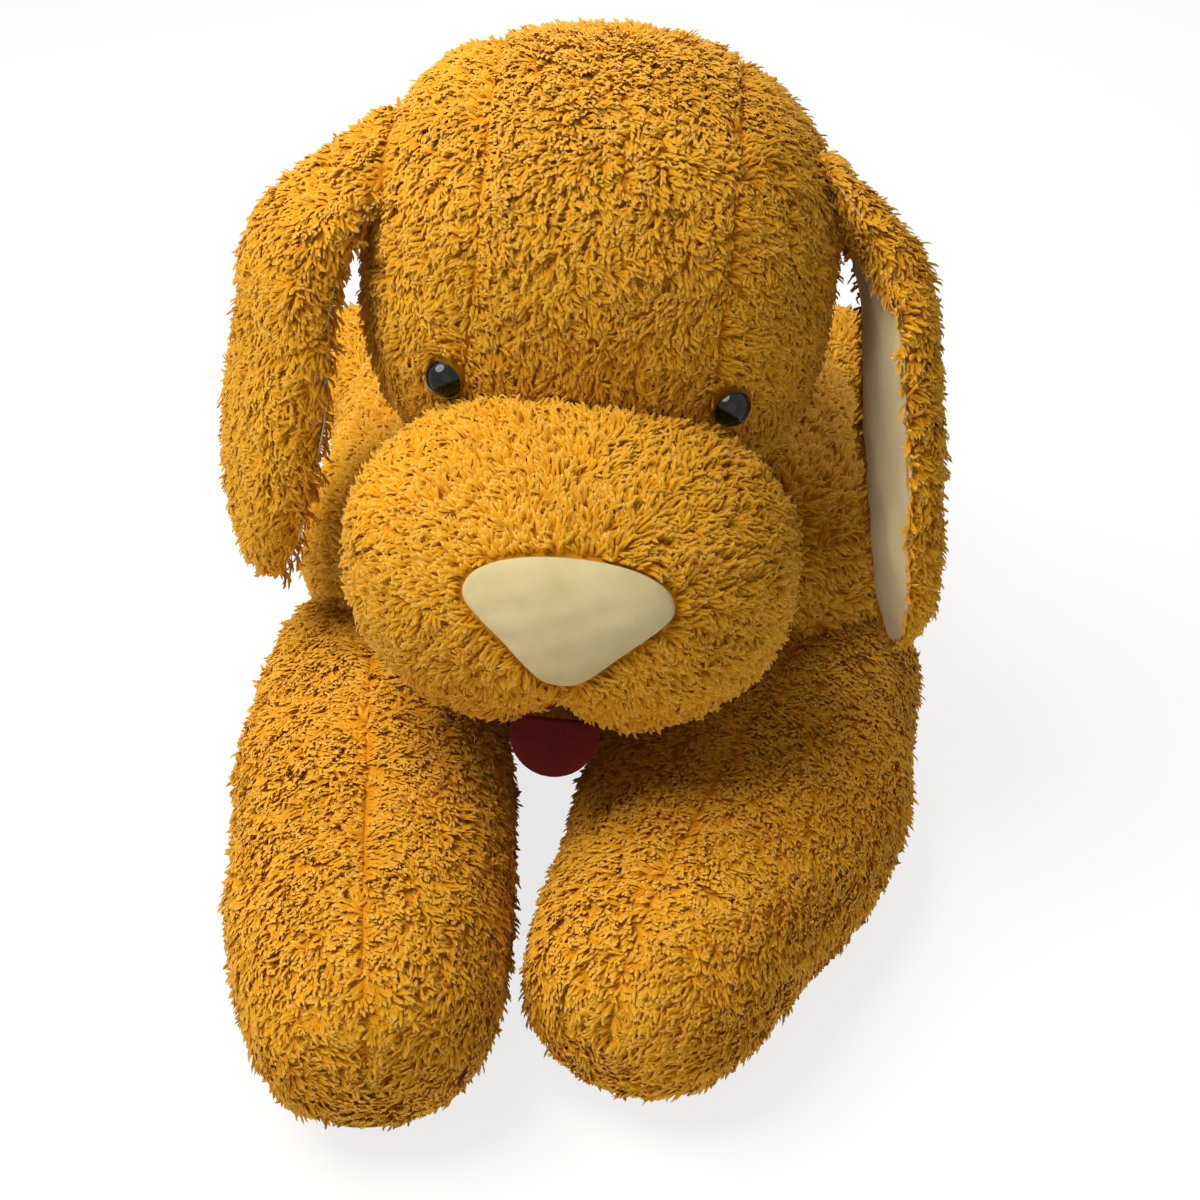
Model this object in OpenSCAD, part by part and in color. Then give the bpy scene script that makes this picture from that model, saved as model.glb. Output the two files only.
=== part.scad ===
// Plush dog lying on its belly: sewn covers over stuffing, safety eyes and a felt tongue.
// Millimetres. +Z is up, the dog looks along -Y, and the origin is on the floor under the belly.
// Left and right are the dog's own, so its left side is +X.

/* [Torso] */
// Length from chest to rump
torso_len = 400; // [370:5:430]
// Width over the shoulders
shoulder_w = 370; // [360:2:380]
// Width at the waist
waist_w = 346; // [334:2:360]
// Width over the hips
hip_w = 350; // [336:2:364]
// Height of the back above the floor
back_h = 214; // [208:1:222]
// Depth by which the belly is pressed flat
belly_sink = 9; // [6:1:14]

/* [Head] */
// Width of the head
head_w = 252; // [242:2:258]
// Depth from forehead to nape
head_d = 240; // [230:2:246]
// Height of the head
head_h = 246; // [236:2:252]
// Distance from the chest back to the middle of the head
head_back = 80; // [74:1:86]
// Height of the middle of the head above the floor
head_z = 309; // [304:1:316]
// Sideways lean of the resting head in degrees
head_lean = 5.5; // [3:0.5:7]
// Upward tilt of the resting head in degrees
head_tilt = 4; // [0:0.5:5]
// Turn of the resting head to its right in degrees
head_yaw = 2; // [0:0.5:4]
// Width of the strip of plush over the crown
crown_w = 128; // [110:2:140]
// Radius of the firm wad of stuffing in the neck
neck_r = 34; // [30:1:40]

/* [Muzzle] */
// Width of the muzzle
muzzle_w = 228; // [216:2:234]
// Height of the muzzle
muzzle_h = 164; // [156:2:170]
// Distance from the middle of the head to the front of the muzzle
muzzle_reach = 225; // [216:1:232]
// Drop of the muzzle below the middle of the head
muzzle_drop = 110; // [104:1:114]
// Depth of the notch between the two lips
lip_notch = 14; // [8:1:18]
// Width of the nose patch
nose_w = 99; // [86:1:108]
// Height of the nose patch
nose_h = 60; // [52:1:66]
// Width of the tongue
tongue_w = 44; // [36:1:52]
// Length of the tongue
tongue_len = 28; // [24:1:32]
// Thickness of the tongue's felt
tongue_t = 4; // [3:0.5:5]

/* [Eyes] */
// Diameter of each safety eye
eye_d = 20; // [16:0.5:24]
// Distance between the middles of the eyes
eye_gap = 143; // [132:1:152]
// Angle of the eyes below the middle of the face in degrees
eye_drop = 14; // [8:1:18]
// Diameter of the shank behind each eye
shank_d = 5; // [4:0.5:6]
// Length of the shank
shank_len = 17; // [15:0.5:20]
// Outside diameter of the lock washer
washer_d = 18; // [14:0.5:22]
// Thickness of the lock washer
washer_t = 2.5; // [1.5:0.5:3.5]

/* [Ears] */
// Length of each ear
ear_len = 268; // [250:1:276]
// Width at the root
ear_root_w = 84; // [72:2:92]
// Greatest width
ear_w = 112; // [100:2:120]
// Width near the tip
ear_tip_w = 96; // [84:2:108]
// Thickness of the plush side
ear_plush_t = 27; // [22:0.5:29]
// Thickness of the smooth lining
ear_lining_t = 5; // [3:0.5:6]
// Distance by which the right ear arches out over the side of the head
ear_right_arch = 52; // [46:1:58]
// Distance by which the left ear arches out over the side of the head
ear_left_arch = 33; // [30:1:40]
// Outward lean of the right ear in degrees
ear_right_lean = 6; // [4:1:12]
// Outward lean of the left ear in degrees
ear_left_lean = 10; // [8:1:14]
// Turn of the right ear about its length in degrees
ear_right_twist = -28; // [-32:1:-20]
// Turn of the left ear about its length in degrees
ear_left_twist = 4; // [0:1:8]
// Angle by which the left ear hangs forward in degrees
ear_left_forward = 21; // [16:1:26]

/* [Forelegs] */
// Length of each foreleg with its root
foreleg_len = 402; // [382:2:410]
// Greatest width of the right foreleg, which lies on its seam
foreleg_right_w = 156; // [148:1:160]
// Height of the right foreleg
foreleg_right_h = 124; // [116:1:128]
// Greatest width of the left foreleg, which lies flatter
foreleg_left_w = 178; // [168:1:182]
// Height of the left foreleg
foreleg_left_h = 114; // [106:1:120]
// Width of the forelegs at the shoulder
foreleg_root_w = 148; // [138:1:156]
// Width of the front paws
front_paw_w = 148; // [138:1:150]
// Distance between the shoulder pivots
shoulder_gap = 264; // [256:2:272]
// Inward turn of the right foreleg at rest in degrees
foreleg_right_turn = 4.5; // [3:0.5:5]
// Inward turn of the left foreleg at rest in degrees
foreleg_left_turn = 22.5; // [19:0.5:23]

/* [Hind legs] */
// Depth by which the legs and the tail are pressed flat
leg_sink = 8; // [6:1:12]
// Length of each hind leg with its root
hindleg_len = 300; // [270:5:330]
// Width at the hip
hindleg_root_w = 120; // [110:2:130]
// Width of the hind paws
hind_paw_w = 124; // [112:2:130]
// Height of the hind legs
hindleg_h = 108; // [96:2:114]
// Distance between the hip pivots
hip_gap = 200; // [190:2:210]
// Outward turn of the hind legs at rest in degrees
hindleg_turn = 22; // [20:1:28]

/* [Tail] */
// Length of the tail with its root
tail_len = 200; // [180:5:230]
// Thickness of the tail
tail_d = 54; // [46:1:60]
// Sideways turn of the tail at rest in degrees
tail_turn = 5; // [2:1:8]

/* [Cloth] */
// Thickness of the plush cover
cover_t = 7; // [5:0.5:9]
// Thickness of the smooth velour patches
velour_t = 3; // [2:0.5:4]
// Length of the smooth sole under each paw
sole_len = 92; // [76:2:100]
// Width of the smooth sole under each paw
sole_w = 62; // [50:2:70]
// Clearance between neighbouring pieces
gap = 0.5; // [0.4:0.1:0.8]

/* [Travel] */
// Turn of the head to either side in degrees
head_turn_max = 12; // [6:1:14]
// Lift of the head in degrees
head_lift_max = 12; // [6:1:14]
// Lift of the ears in degrees
ear_lift_max = 60; // [30:5:75]
// Outward swing of the forelegs in degrees
foreleg_swing_max = 25; // [15:1:30]
// Outward swing of the hind legs in degrees
hindleg_swing_max = 25; // [15:1:30]
// Wag of the tail to either side in degrees
tail_wag_max = 30; // [15:1:35]

/* [Hidden] */
$fn = 32;

// Colours of the cloth and fittings
plush_tan = [0.74, 0.54, 0.24];
velour_cream = [0.88, 0.84, 0.70];
felt_red = [0.45, 0.10, 0.10];
eye_black = [0.05, 0.05, 0.05];
washer_white = [0.92, 0.92, 0.90];
stuffing_white = [0.95, 0.95, 0.93];

// A block larger than the dog, and a depth far below any form
big = 1200;
no_floor = -big;
left = 1;
right = -1;

// Places of the pivots
chest_y = -torso_len / 2;
head_at = [0, chest_y + head_back, head_z];
eye_dip = -eye_drop;
neck_back = 14;
neck_drop = 110;
neck_at = head_at + [0, neck_back, -neck_drop];
shoulder_in = 70;
shoulder_y = chest_y + shoulder_in;
leg_overlap = 62;
hip_in = 92;
hip_y = torso_len / 2 - hip_in;
tail_in = 24;
tail_y = torso_len / 2 - tail_in;
tail_overlap = 30;
// Room left between a limb and the torso for the curve between two steps of a swing
swing_room = 0.6;
// Greatest step of a swing in degrees
sweep_step = 6;

// Even steps from one end of a swing to the other, both ends included
function sweep(from, to) =
  let (n = ceil((to - from) / sweep_step))
  [for (i = [0 : n]) from + (to - from) * i / n];

// Depth of cloth cut away where the belly lies on the floor
floor_trim = 0.5;

// A soft form is a lofted bag along +Y: length, how square its ends are, how square its
// sections are, rings, sides, the floor that flattens it, the depth of a crease along its
// underside, and stations of half width, half height, sideways shift and height of the middle.
torso_mid = (back_h - belly_sink) / 2;
torso_half_h = (back_h + belly_sink) / 2;
torso_form = [torso_len, [3, 2.6], 2.3, 9, 16, -floor_trim, 0, [
  [shoulder_w / 2, torso_half_h, 0, torso_mid],
  [shoulder_w / 2, torso_half_h, 0, torso_mid],
  [waist_w / 2, torso_half_h, 0, torso_mid],
  [hip_w / 2, torso_half_h, 0, torso_mid],
  [hip_w / 2, torso_half_h, 0, torso_mid]]];
head_form = [head_w, [2.5, 2.5], 2.15, 8, 16, no_floor, 0, [
  [head_d / 2, head_h / 2, 0, 0],
  [head_d / 2, head_h / 2, 0, 0],
  [head_d / 2, head_h / 2, 0, 0]]];
muzzle_taper = 12;
muzzle_root = 52;
muzzle_len = muzzle_reach - muzzle_root;
muzzle_form = [muzzle_len, [3, 2.3], 2.3, 8, 16, no_floor, lip_notch, [
  [muzzle_w / 2, muzzle_h / 2, 0, 0],
  [muzzle_w / 2, muzzle_h / 2, 0, 0],
  [muzzle_w / 2 - muzzle_taper, muzzle_h / 2 - muzzle_taper, 0, 0]]];
function ear_form(thickness, fullness, arch) =
  [ear_len, [2.6, 2.6], fullness, 8, 12, no_floor, 0, [
    [ear_root_w / 2, thickness, 0, 0],
    [ear_mid_w / 2, thickness, 0, arch * shoulder_share],
    [ear_w / 2, thickness, 0, arch],
    [ear_w / 2, thickness, 0, arch],
    [ear_tip_w / 2, thickness, 0, arch]]];
ear_mid_w = (ear_root_w + ear_w) / 2;
// Share of the arch that an ear reaches a quarter of the way down
shoulder_share = 0.95;
sole_floor = velour_t + gap;
function foreleg_form(side) = leg_form(
  foreleg_len,
  foreleg_root_w,
  of_side(side, [foreleg_left_w, foreleg_right_w]),
  front_paw_w,
  of_side(side, [foreleg_left_h, foreleg_right_h]));
hindleg_form = leg_form(hindleg_len, hindleg_root_w, hindleg_root_w, hind_paw_w, hindleg_h);
tail_taper = 12;
tail_tip_d = tail_d - tail_taper;
tail_rise = 44;
tail_mid_rise = 9;
tail_form = [tail_len, [2.6, 2.6], 2, 7, 12, 0, 0, [
  [tail_d / 2, tail_d / 2, 0, tail_d / 2 + tail_rise],
  [tail_d / 2, tail_d / 2, 0, tail_d / 2 + tail_mid_rise],
  [tail_tip_d / 2, tail_tip_d / 2, 0, tail_tip_d / 2 - leg_sink]]];

function leg_form(length, root_w, mid_w, paw_w, height) =
  let (half_h = (height + leg_sink) / 2, mid_z = (height - leg_sink) / 2)
  [length, [2.7, 3.4], 2.2, 8, 16, sole_floor, 0, [
    for (w = [root_w, root_w, mid_w, paw_w, paw_w]) [w / 2, half_h, 0, mid_z]]];

// Smooth curve through evenly spaced values
function curve(v, t) =
  let (n = len(v) - 1, i = min(floor(t * n), n - 1), f = t * n - i)
  let (a = v[max(i - 1, 0)], b = v[i], c = v[i + 1], d = v[min(i + 2, n)])
  (2 * b + (c - a) * f + (2 * a - 5 * b + 4 * c - d) * f * f
    + (3 * b - a - 3 * c + d) * f * f * f) / 2;

function swell(t, ends) =
  let (p = t < 0.5 ? ends[0] : ends[1])
  pow(max(0, 1 - pow(abs(2 * t - 1), p)), 1 / p);
function bent(v, p) = sign(v) * pow(abs(v), p);
crease_angle = 14;
function crease(a, depth) = depth * exp(-pow((a - 270) / crease_angle, 2));

// Point on a form at share t of its length and angle a round its section, sunk by inset
function skin(f, t, a, inset) =
  let (s = curve(f[7], t), r = swell(t, f[1]), e = 2 / f[2], c = crease(a, f[6]))
  [s[2] + (s[0] - inset) * r * bent(cos(a), e),
   inset + (f[0] - 2 * inset) * t,
   max(s[3] + (s[1] - inset - c) * r * bent(sin(a), e), f[5] + inset)];

// A form as a solid, or the part of it between two angles
module soft(f, inset = 0, from = 0, to = 360) {
  n = f[3];
  closed = to - from == 360;
  k = closed ? f[4] : f[4] / 2 + 1;
  step = closed ? 360 / k : (to - from) / (k - 1);
  shares = [for (i = [1 : n - 1]) (1 - cos(180 * i / n)) / 2];
  rings = [for (t = shares) for (j = [0 : k - 1]) skin(f, t, from + step * j, inset)];
  points = concat(rings, [skin(f, 0, 0, inset), skin(f, 1, 0, inset)]);
  first = len(rings);
  faces = concat(
    [for (j = [0 : k - 1]) [first, (j + 1) % k, j]],
    [for (i = [0 : n - 3]) for (j = [0 : k - 1])
      [i * k + j, (i + 1) * k + (j + 1) % k, (i + 1) * k + j]],
    [for (i = [0 : n - 3]) for (j = [0 : k - 1])
      [i * k + j, i * k + (j + 1) % k, (i + 1) * k + (j + 1) % k]],
    [for (j = [0 : k - 1]) [first + 1, (n - 2) * k + j, (n - 2) * k + (j + 1) % k]]);
  polyhedron(points, faces);
}

// A sewn piece is one faceted surface; a resize of nought keeps every size
module sewn() {
  resize([0, 0, 0]) children();
}

// The cloth of a form, one cover thick
module cover(f) {
  difference() {
    soft(f);
    soft(f, cover_t);
  }
}

// Half of space beyond a plane square to x, y or z
module beyond(axis, from, side = 1) {
  at = [for (i = [0 : 2]) i == axis ? from + (side > 0 ? 0 : -big) : -big / 2];
  translate(at)
    cube(big);
}

module turn_about(at, angles) {
  translate(at)
    rotate(angles)
      translate(-at)
        children();
}

// Torso
module place_torso() {
  translate([0, chest_y, 0])
    children();
}

hollow_sides = 12;

module neck_hollow() {
  translate(neck_at)
    sphere((neck_r + gap) / pow(cos(180 / hollow_sides), 2), $fn = hollow_sides);
}

torso_seam_z = 78;

module torso_back_panel() {
  color(plush_tan)
    sewn()
      difference() {
        intersection() {
          place_torso() cover(torso_form);
          beyond(2, torso_seam_z);
        }
        neck_hollow();
      }
}

module torso_belly_panel() {
  color(plush_tan)
    difference() {
      sewn()
        intersection() {
          place_torso() cover(torso_form);
          beyond(2, torso_seam_z, -1);
        }
      beyond(2, 0, -1);
    }
}

module torso_stuffing() {
  color(stuffing_white)
    sewn()
      difference() {
        place_torso() soft(torso_form, cover_t + gap);
        neck_hollow();
      }
}

module neck_stuffing() {
  color(stuffing_white)
    translate(neck_at)
      sphere(neck_r);
}

// Head
module place_head() {
  translate(head_at)
    rotate([-head_tilt, head_lean, -head_yaw])
      children();
}

module head_bag(inset = 0) {
  rotate(-90)
    translate([0, -head_w / 2, 0])
      soft(head_form, inset);
}

// Everything that the torso and the neck take from the head over the whole travel
module neck_opening() {
  neck_hollow();
  for (lift = sweep(0, head_lift_max))
    for (turn = [-head_turn_max, 0, head_turn_max])
      turn_about(neck_at, [lift, 0, 0])
        turn_about(neck_at, [0, 0, turn])
          place_torso() soft(torso_form, -swing_room);
}

// Small steps along and round the face that give the slope under an eye
probe_t = 0.02;
probe_a = 2;

module eye_axis(side) {
  t = 0.5 + eye_gap / 2 / head_w;
  out = skin(head_form, t, eye_dip, 0);
  along = skin(head_form, t + probe_t, eye_dip, 0) - skin(head_form, t - probe_t, eye_dip, 0);
  round = skin(head_form, t, eye_dip + probe_a, 0) - skin(head_form, t, eye_dip - probe_a, 0);
  n = cross(along, round);
  place_head()
    mirror([side > 0 ? 0 : 1, 0, 0])
      translate([out[1] - head_w / 2, -out[0], out[2]])
        rotate([0, acos(n[2] / norm(n)), atan2(-n[0], n[1])])
          children();
}

// Shank hole through the cover, with the cloth behind it pressed flat for the washer
module eye_hole(side) {
  eye_axis(side)
    translate([0, 0, -shank_len])
      cylinder(d = shank_d + 2 * gap, h = shank_len + dome_h, $fn = 8);
  washer_pocket(side, cover_t);
}

module washer_pocket(side, depth = 0) {
  eye_axis(side)
    translate([0, 0, -shank_len - washer_t])
      cylinder(d = washer_d + 4 * gap, h = shank_len + washer_t - depth, $fn = 10);
}

module head_panel() {
  difference() {
    intersection() {
      place_head()
        difference() {
          head_bag();
          head_bag(cover_t);
        }
      place_head() children();
    }
    neck_opening();
    eye_hole(left);
    eye_hole(right);
  }
}

module head_crown_panel() {
  color(plush_tan)
    sewn()
      head_panel()
        translate([-crown_w / 2, -big / 2, -big / 2])
          cube([crown_w, big, big]);
}

module head_side_panel(side) {
  color(plush_tan)
    sewn()
      head_panel() beyond(0, side * crown_w / 2, side);
}

module head_side_panel_left() head_side_panel(left);
module head_side_panel_right() head_side_panel(right);

module head_stuffing() {
  color(stuffing_white)
    sewn()
      difference() {
        place_head() head_bag(cover_t + gap);
        neck_opening();
        washer_pocket(left);
        washer_pocket(right);
      }
}

// Muzzle
module muzzle_bag(inset = 0) {
  translate([0, -muzzle_root, -muzzle_drop])
    rotate(180)
      soft(muzzle_form, inset);
}

lip_seam_drop = 6;
lip_seam_z = -muzzle_drop - lip_seam_drop;

module muzzle_panel() {
  intersection() {
    difference() {
      place_head()
        difference() {
          muzzle_bag();
          muzzle_bag(cover_t);
          head_bag(-gap);
        }
      neck_opening();
    }
    place_head() children();
  }
}

module muzzle_top_panel() {
  color(plush_tan)
    sewn()
      muzzle_panel() beyond(2, lip_seam_z);
}

module muzzle_lip_panel(side) {
  color(plush_tan)
    sewn()
      muzzle_panel()
        intersection() {
          beyond(2, lip_seam_z, -1);
          beyond(0, 0, side);
        }
}

module muzzle_lip_panel_left() muzzle_lip_panel(left);
module muzzle_lip_panel_right() muzzle_lip_panel(right);

module muzzle_stuffing() {
  color(stuffing_white)
    sewn()
      difference() {
        place_head()
          difference() {
            muzzle_bag(cover_t + gap);
            head_bag(-gap);
          }
        neck_opening();
      }
}

nose_z = 14;
nose_back = 8;
nose_tilt = 24;
nose_reach = 60;
nose_corner_r = 16;

module nose_outline() {
  hull() {
    for (side = [left, right])
      translate([side * (nose_w / 2 - nose_corner_r), nose_h / 2 - nose_corner_r])
        circle(nose_corner_r, $fn = 20);
    translate([0, -nose_h / 2 + nose_corner_r])
      circle(nose_corner_r, $fn = 20);
  }
}

module nose_patch() {
  color(velour_cream)
    sewn()
      place_head()
        intersection() {
          difference() {
            muzzle_bag(-velour_t - gap);
            muzzle_bag(-gap);
          }
          translate([0, -muzzle_reach + nose_back, nose_z - muzzle_drop])
            rotate([90 - nose_tilt, 0, 0])
              translate([0, 0, -nose_reach])
                linear_extrude(2 * nose_reach)
                  nose_outline();
        }
}

// Tongue
tongue_back = 34;
tongue_y = -muzzle_reach + tongue_back;
tongue_lean = 18;
lobe_angle = 252;
tongue_room = 0.3;
// Depth of the lips' flats below the true curve
lip_flat = 0.9;
tongue_z = -muzzle_drop + lip_flat - tongue_room - tongue_t / 2
  + skin(muzzle_form, 1 - (tongue_back - tongue_t) / muzzle_len, lobe_angle, 0)[2];

module place_tongue() {
  place_head()
    translate([0, tongue_y, tongue_z])
      rotate([90 - tongue_lean, 0, 0])
        children();
}

// Felt with a round end and a rolled root, which turns about its own axis
module tongue() {
  color(felt_red)
    sewn()
      place_tongue() {
        rotate([0, 90, 0])
          cylinder(d = tongue_t, h = tongue_w, center = true, $fn = roll_sides);
        translate([0, 0, -tongue_t / 2])
          linear_extrude(tongue_t)
            intersection() {
              translate([-tongue_w / 2, -tongue_len])
                square([tongue_w, tongue_len]);
              union() {
                translate([0, -tongue_len + tongue_w / 2])
                  circle(d = tongue_w);
                translate([-tongue_w / 2, -tongue_len + tongue_w / 2])
                  square(tongue_w);
              }
            }
      }
}

roll_sides = 16;

// Eyes
dome_h = 8;

module eye(side) {
  color(eye_black)
    eye_axis(side)
      translate([0, 0, gap]) {
        rotate_extrude()
          intersection() {
            translate([0, dome_h - eye_dome_r()])
              circle(eye_dome_r());
            square([eye_d, eye_d]);
          }
        translate([0, 0, -shank_len])
          cylinder(d = shank_d, h = shank_len + 1);
      }
}

function eye_dome_r() = (eye_d * eye_d / 4 + dome_h * dome_h) / (2 * dome_h);

module eye_left() eye(left);
module eye_right() eye(right);

module eye_washer(side) {
  color(washer_white)
    eye_axis(side)
      translate([0, 0, -cover_t - gap - washer_t])
        difference() {
          cylinder(d = washer_d, h = washer_t);
          translate([0, 0, -1])
            cylinder(d = shank_d + 2 * gap, h = washer_t + 2);
        }
}

module eye_washer_left() eye_washer(left);
module eye_washer_right() eye_washer(right);

// Ears
ear_root_x = 98;
ear_root_z = 80;
ear_root_y = -6;

function of_side(side, pair) = side > 0 ? pair[0] : pair[1];
function ear_arch(side) = of_side(side, [ear_left_arch, ear_right_arch]);

function ear_root(side) = [side * ear_root_x, ear_root_y, ear_root_z];
function ear_twist(side) = of_side(side, [ear_left_twist, ear_right_twist]);

function ear_forward(side) = of_side(side, [ear_left_forward, 0]);

module place_ear(side) {
  lean = of_side(side, [ear_left_lean, ear_right_lean]);
  place_head()
    translate(ear_root(side))
      rotate([-ear_forward(side), 0, 0])
        rotate([0, 0, side * ear_twist(side)])
          rotate([0, -side * lean, 0])
            rotate([-90, 0, -side * 90])
              children();
}

// Everything that the head takes from an ear over its whole lift
module head_for_ear(side) {
  for (i = [0 : ear_steps])
    place_head()
      translate(ear_root(side))
        rotate([-ear_forward(side), 0, 0])
          rotate([0, 0, side * ear_twist(side)])
            rotate([0, side * ear_lift_max * i / ear_steps, 0])
              rotate([0, 0, -side * ear_twist(side)])
                rotate([ear_forward(side), 0, 0])
                  translate(-ear_root(side))
                    head_bag(-gap);
}

ear_steps = 4;

module ear_half(side, f, from, to) {
  sewn()
    difference() {
      place_ear(side) soft(f, 0, from, to);
      head_for_ear(side);
    }
}

plush_fullness = 3;
lining_fullness = 2;

module ear_plush(side) {
  color(plush_tan)
    ear_half(side, ear_form(ear_plush_t, plush_fullness, ear_arch(side)), 0, 180);
}

module ear_lining(side) {
  color(velour_cream)
    ear_half(side, ear_form(ear_lining_t, lining_fullness, ear_arch(side)), 180, 360);
}

module ear_plush_left() ear_plush(left);
module ear_plush_right() ear_plush(right);
module ear_lining_left() ear_lining(left);
module ear_lining_right() ear_lining(right);

// Legs
module place_foreleg(side) {
  turn = of_side(side, [foreleg_left_turn, foreleg_right_turn]);
  translate([side * shoulder_gap / 2, shoulder_y, 0])
    rotate(180 - side * turn)
      translate([0, -leg_overlap, 0])
        children();
}

module place_hindleg(side) {
  translate([side * hip_gap / 2, hip_y, 0])
    rotate(-side * hindleg_turn)
      translate([0, -leg_overlap, 0])
        children();
}

// Everything that the torso takes from a leg over its whole swing
module torso_for_foreleg(side) {
  for (a = sweep(0, foreleg_swing_max))
    turn_about([side * shoulder_gap / 2, shoulder_y, 0], [0, 0, -side * a])
      place_torso() soft(torso_form, -swing_room);
}

module torso_for_hindleg(side) {
  for (a = sweep(0, hindleg_swing_max))
    turn_about([side * hip_gap / 2, hip_y, 0], [0, 0, side * a])
      place_torso() soft(torso_form, -swing_room);
}

module foreleg_panel(side, outer) {
  color(plush_tan)
    sewn()
      difference() {
        place_foreleg(side)
          intersection() {
            cover(foreleg_form(side));
            beyond(0, 0, -side * outer);
          }
        torso_for_foreleg(side);
      }
}

module foreleg_outer_panel_left() foreleg_panel(left, 1);
module foreleg_outer_panel_right() foreleg_panel(right, 1);
module foreleg_inner_panel_left() foreleg_panel(left, -1);
module foreleg_inner_panel_right() foreleg_panel(right, -1);

module foreleg_stuffing(side) {
  color(stuffing_white)
    sewn()
      difference() {
        place_foreleg(side) soft(foreleg_form(side), cover_t + gap);
        torso_for_foreleg(side);
      }
}

module foreleg_stuffing_left() foreleg_stuffing(left);
module foreleg_stuffing_right() foreleg_stuffing(right);

sole_rise = 26;

module sole(f) {
  intersection() {
    difference() {
      soft(f, -velour_t - gap);
      soft(f, -gap);
    }
    translate([0, f[0] - sole_len / 2 + velour_t, 0])
      scale([sole_w, sole_len, 1])
        cylinder(d = 1, h = sole_rise, $fn = 24);
  }
}

module front_paw_sole(side) {
  color(velour_cream)
    sewn()
      place_foreleg(side) sole(foreleg_form(side));
}

module front_paw_sole_left() front_paw_sole(left);
module front_paw_sole_right() front_paw_sole(right);

module hindleg_panel(side, outer) {
  color(plush_tan)
    sewn()
      difference() {
        place_hindleg(side)
          intersection() {
            cover(hindleg_form);
            beyond(0, 0, side * outer);
          }
        torso_for_hindleg(side);
      }
}

module hindleg_outer_panel_left() hindleg_panel(left, 1);
module hindleg_outer_panel_right() hindleg_panel(right, 1);
module hindleg_inner_panel_left() hindleg_panel(left, -1);
module hindleg_inner_panel_right() hindleg_panel(right, -1);

module hindleg_stuffing(side) {
  color(stuffing_white)
    sewn()
      difference() {
        place_hindleg(side) soft(hindleg_form, cover_t + gap);
        torso_for_hindleg(side);
      }
}

module hindleg_stuffing_left() hindleg_stuffing(left);
module hindleg_stuffing_right() hindleg_stuffing(right);

module hind_paw_sole(side) {
  color(velour_cream)
    sewn()
      place_hindleg(side) sole(hindleg_form);
}

module hind_paw_sole_left() hind_paw_sole(left);
module hind_paw_sole_right() hind_paw_sole(right);

// Tail
module place_tail() {
  translate([0, tail_y, 0])
    rotate(tail_turn)
      translate([0, -tail_overlap, 0])
        children();
}

module torso_for_tail() {
  for (a = sweep(-tail_wag_max, tail_wag_max))
    turn_about([0, tail_y, 0], [0, 0, a])
      place_torso() soft(torso_form, -swing_room);
}

module tail_cover() {
  color(plush_tan)
    sewn()
      difference() {
        place_tail() cover(tail_form);
        torso_for_tail();
      }
}

module tail_stuffing() {
  color(stuffing_white)
    sewn()
      difference() {
        place_tail() soft(tail_form, cover_t + gap);
        torso_for_tail();
      }
}

torso_back_panel();
torso_belly_panel();
torso_stuffing();
neck_stuffing();
head_crown_panel();
head_side_panel_left();
head_side_panel_right();
head_stuffing();
muzzle_top_panel();
muzzle_lip_panel_left();
muzzle_lip_panel_right();
muzzle_stuffing();
nose_patch();
tongue();
eye_left();
eye_right();
eye_washer_left();
eye_washer_right();
ear_plush_left();
ear_plush_right();
ear_lining_left();
ear_lining_right();
foreleg_outer_panel_left();
foreleg_outer_panel_right();
foreleg_inner_panel_left();
foreleg_inner_panel_right();
foreleg_stuffing_left();
foreleg_stuffing_right();
front_paw_sole_left();
front_paw_sole_right();
hindleg_outer_panel_left();
hindleg_outer_panel_right();
hindleg_inner_panel_left();
hindleg_inner_panel_right();
hindleg_stuffing_left();
hindleg_stuffing_right();
hind_paw_sole_left();
hind_paw_sole_right();
tail_cover();
tail_stuffing();
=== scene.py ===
"""Plush dog: fur, velour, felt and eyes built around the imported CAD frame, in metres."""

import math

import bpy
import numpy as np
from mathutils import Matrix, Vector


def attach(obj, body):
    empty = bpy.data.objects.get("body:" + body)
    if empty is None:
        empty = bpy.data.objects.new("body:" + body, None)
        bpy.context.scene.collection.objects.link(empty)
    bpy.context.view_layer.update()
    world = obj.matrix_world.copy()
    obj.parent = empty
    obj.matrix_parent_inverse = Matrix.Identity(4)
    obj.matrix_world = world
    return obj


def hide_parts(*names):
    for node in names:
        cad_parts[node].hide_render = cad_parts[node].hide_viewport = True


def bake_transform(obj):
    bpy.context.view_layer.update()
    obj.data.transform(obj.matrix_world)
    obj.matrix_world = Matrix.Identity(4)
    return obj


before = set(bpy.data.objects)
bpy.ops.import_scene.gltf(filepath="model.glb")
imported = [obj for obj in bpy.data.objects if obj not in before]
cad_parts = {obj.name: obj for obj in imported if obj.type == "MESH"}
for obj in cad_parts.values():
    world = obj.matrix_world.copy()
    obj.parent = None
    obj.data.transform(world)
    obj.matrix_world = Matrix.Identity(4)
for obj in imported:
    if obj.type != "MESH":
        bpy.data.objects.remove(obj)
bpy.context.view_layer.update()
rng = np.random.default_rng(11)
MM = 0.001

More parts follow.
